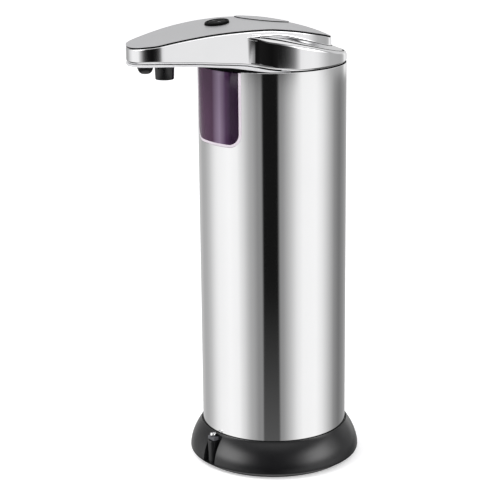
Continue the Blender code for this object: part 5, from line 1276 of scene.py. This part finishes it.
# %% Eye barrel and lens
barrel = turned("eye_barrel", [
    (0.0039, 0.1784), (0.0042, 0.1858), (0.0042, 0.1868), (0.0030, 0.1868), (0.0030, 0.1784),
], 64, (0.0, EYE_Y), closed=True)
rounded(barrel, 0.0003, 3, 50.0)
fit(barrel, "black_plastic", "sensor_barrel")
lens = turned("eye_lens", [
    (0.0027, 0.1807), (0.0027, 0.1795), (0.0022, 0.17925), (0.0014, 0.17905), (0.0005, 0.1790),
], 48, (0.0, EYE_Y))
fit(lens, "purple_window", "sensor_lens")

# %% [markdown]
# ## Base
# The black base flares out and tucks in at the foot. A straight flare would show one hard
# band of light; here it swells a little, so two soft highlights lie on it as in the
# picture. At the front a notch bares a half-round boss with a small cross-head screw. The
# body is turned, the notch is cut, and the boss is a turned piece of its own.

# %% Base ring
BASE_RADIUS, BASE_FOOT, BASE_NECK = 0.0384, 0.0358, 0.0333
BASE_LOW, BULGE, BASE_TOP = 0.0013, 0.0030, 0.0159
SWELL = 1.8
TUCK_STEPS, FLARE_STEPS = 12, 14
profile = [(0.0323, BASE_LOW)]
for k in range(TUCK_STEPS + 1):
    a = math.pi / 2 * k / TUCK_STEPS
    wide = BASE_FOOT + (BASE_RADIUS - BASE_FOOT) * math.sin(a)
    profile.append((wide, BULGE - (BULGE - BASE_LOW) * math.cos(a)))
for k in range(1, FLARE_STEPS + 1):
    share = k / FLARE_STEPS
    wide = BASE_RADIUS - (BASE_RADIUS - BASE_NECK) * share**SWELL
    profile.append((wide, BULGE + (BASE_TOP - 0.0002 - BULGE) * share))
profile += [
    (BASE_NECK - 0.0001, BASE_TOP), (0.0331, BASE_TOP), (0.0331, 0.0147), (0.0316, 0.0147),
    (0.0316, 0.0235), (0.0296, 0.0235), (0.0296, BASE_LOW),
]
base = turned("base_ring_fine", profile, 192, closed=True)
cut(base, block("notch", (-0.0025, -0.043, 0.0026), (0.0052, -0.0334, 0.020)))
fit(base, "black_plastic", "base_ring", material=base_black, smooth=30.0)

# %% Screw boss
SCREW_Y, SCREW_TOP = -0.0347, 0.0158
boss = turned("screw_boss", [
    (0.0024, 0.0022), (0.0024, 0.0121), (0.00232, 0.0124), (0.0021, 0.0125), (0.0012, 0.0125),
], 48, (0.0, SCREW_Y))
fit(boss, "black_plastic", "base_ring", material=base_black)

# %% Cross-head screw
RECESS_LONG, RECESS_THIN, RECESS_DEPTH = 0.0008, 0.00022, 0.0006
screw = turned("cross_screw", [
    (0.0009, 0.0128), (0.0009, 0.0145), (0.0014, 0.0145), (0.0014, 0.0154), (0.0013, 0.0156),
    (0.0010, 0.01576), (0.0006, SCREW_TOP),
], 48, (0.0, SCREW_Y))
for wide, deep in ((RECESS_LONG, RECESS_THIN), (RECESS_THIN, RECESS_LONG)):
    low = (-wide, SCREW_Y - deep, SCREW_TOP - RECESS_DEPTH)
    cut(screw, block("recess", low, (wide, SCREW_Y + deep, SCREW_TOP + 0.001)))
rounded(screw, 0.00006, 2, 50.0)
fit(screw, "chrome", "base_screw")

# %% Gasket and foot ring
gasket = turned("base_gasket_fine", [
    (0.0319, 0.0150), (0.0330, 0.0150), (0.0330, 0.0156), (0.0329, 0.0157), (0.0319, 0.0157),
], 192, closed=True)
fit(gasket, "rubber", "base_gasket")
foot = turned("foot_ring_fine", [
    (0.0323, 0.0), (0.0349, 0.0), (0.0351, 0.0002), (0.0351, 0.0010), (0.0323, 0.0010),
], 192, closed=True)
fit(foot, "rubber", "foot_ring")
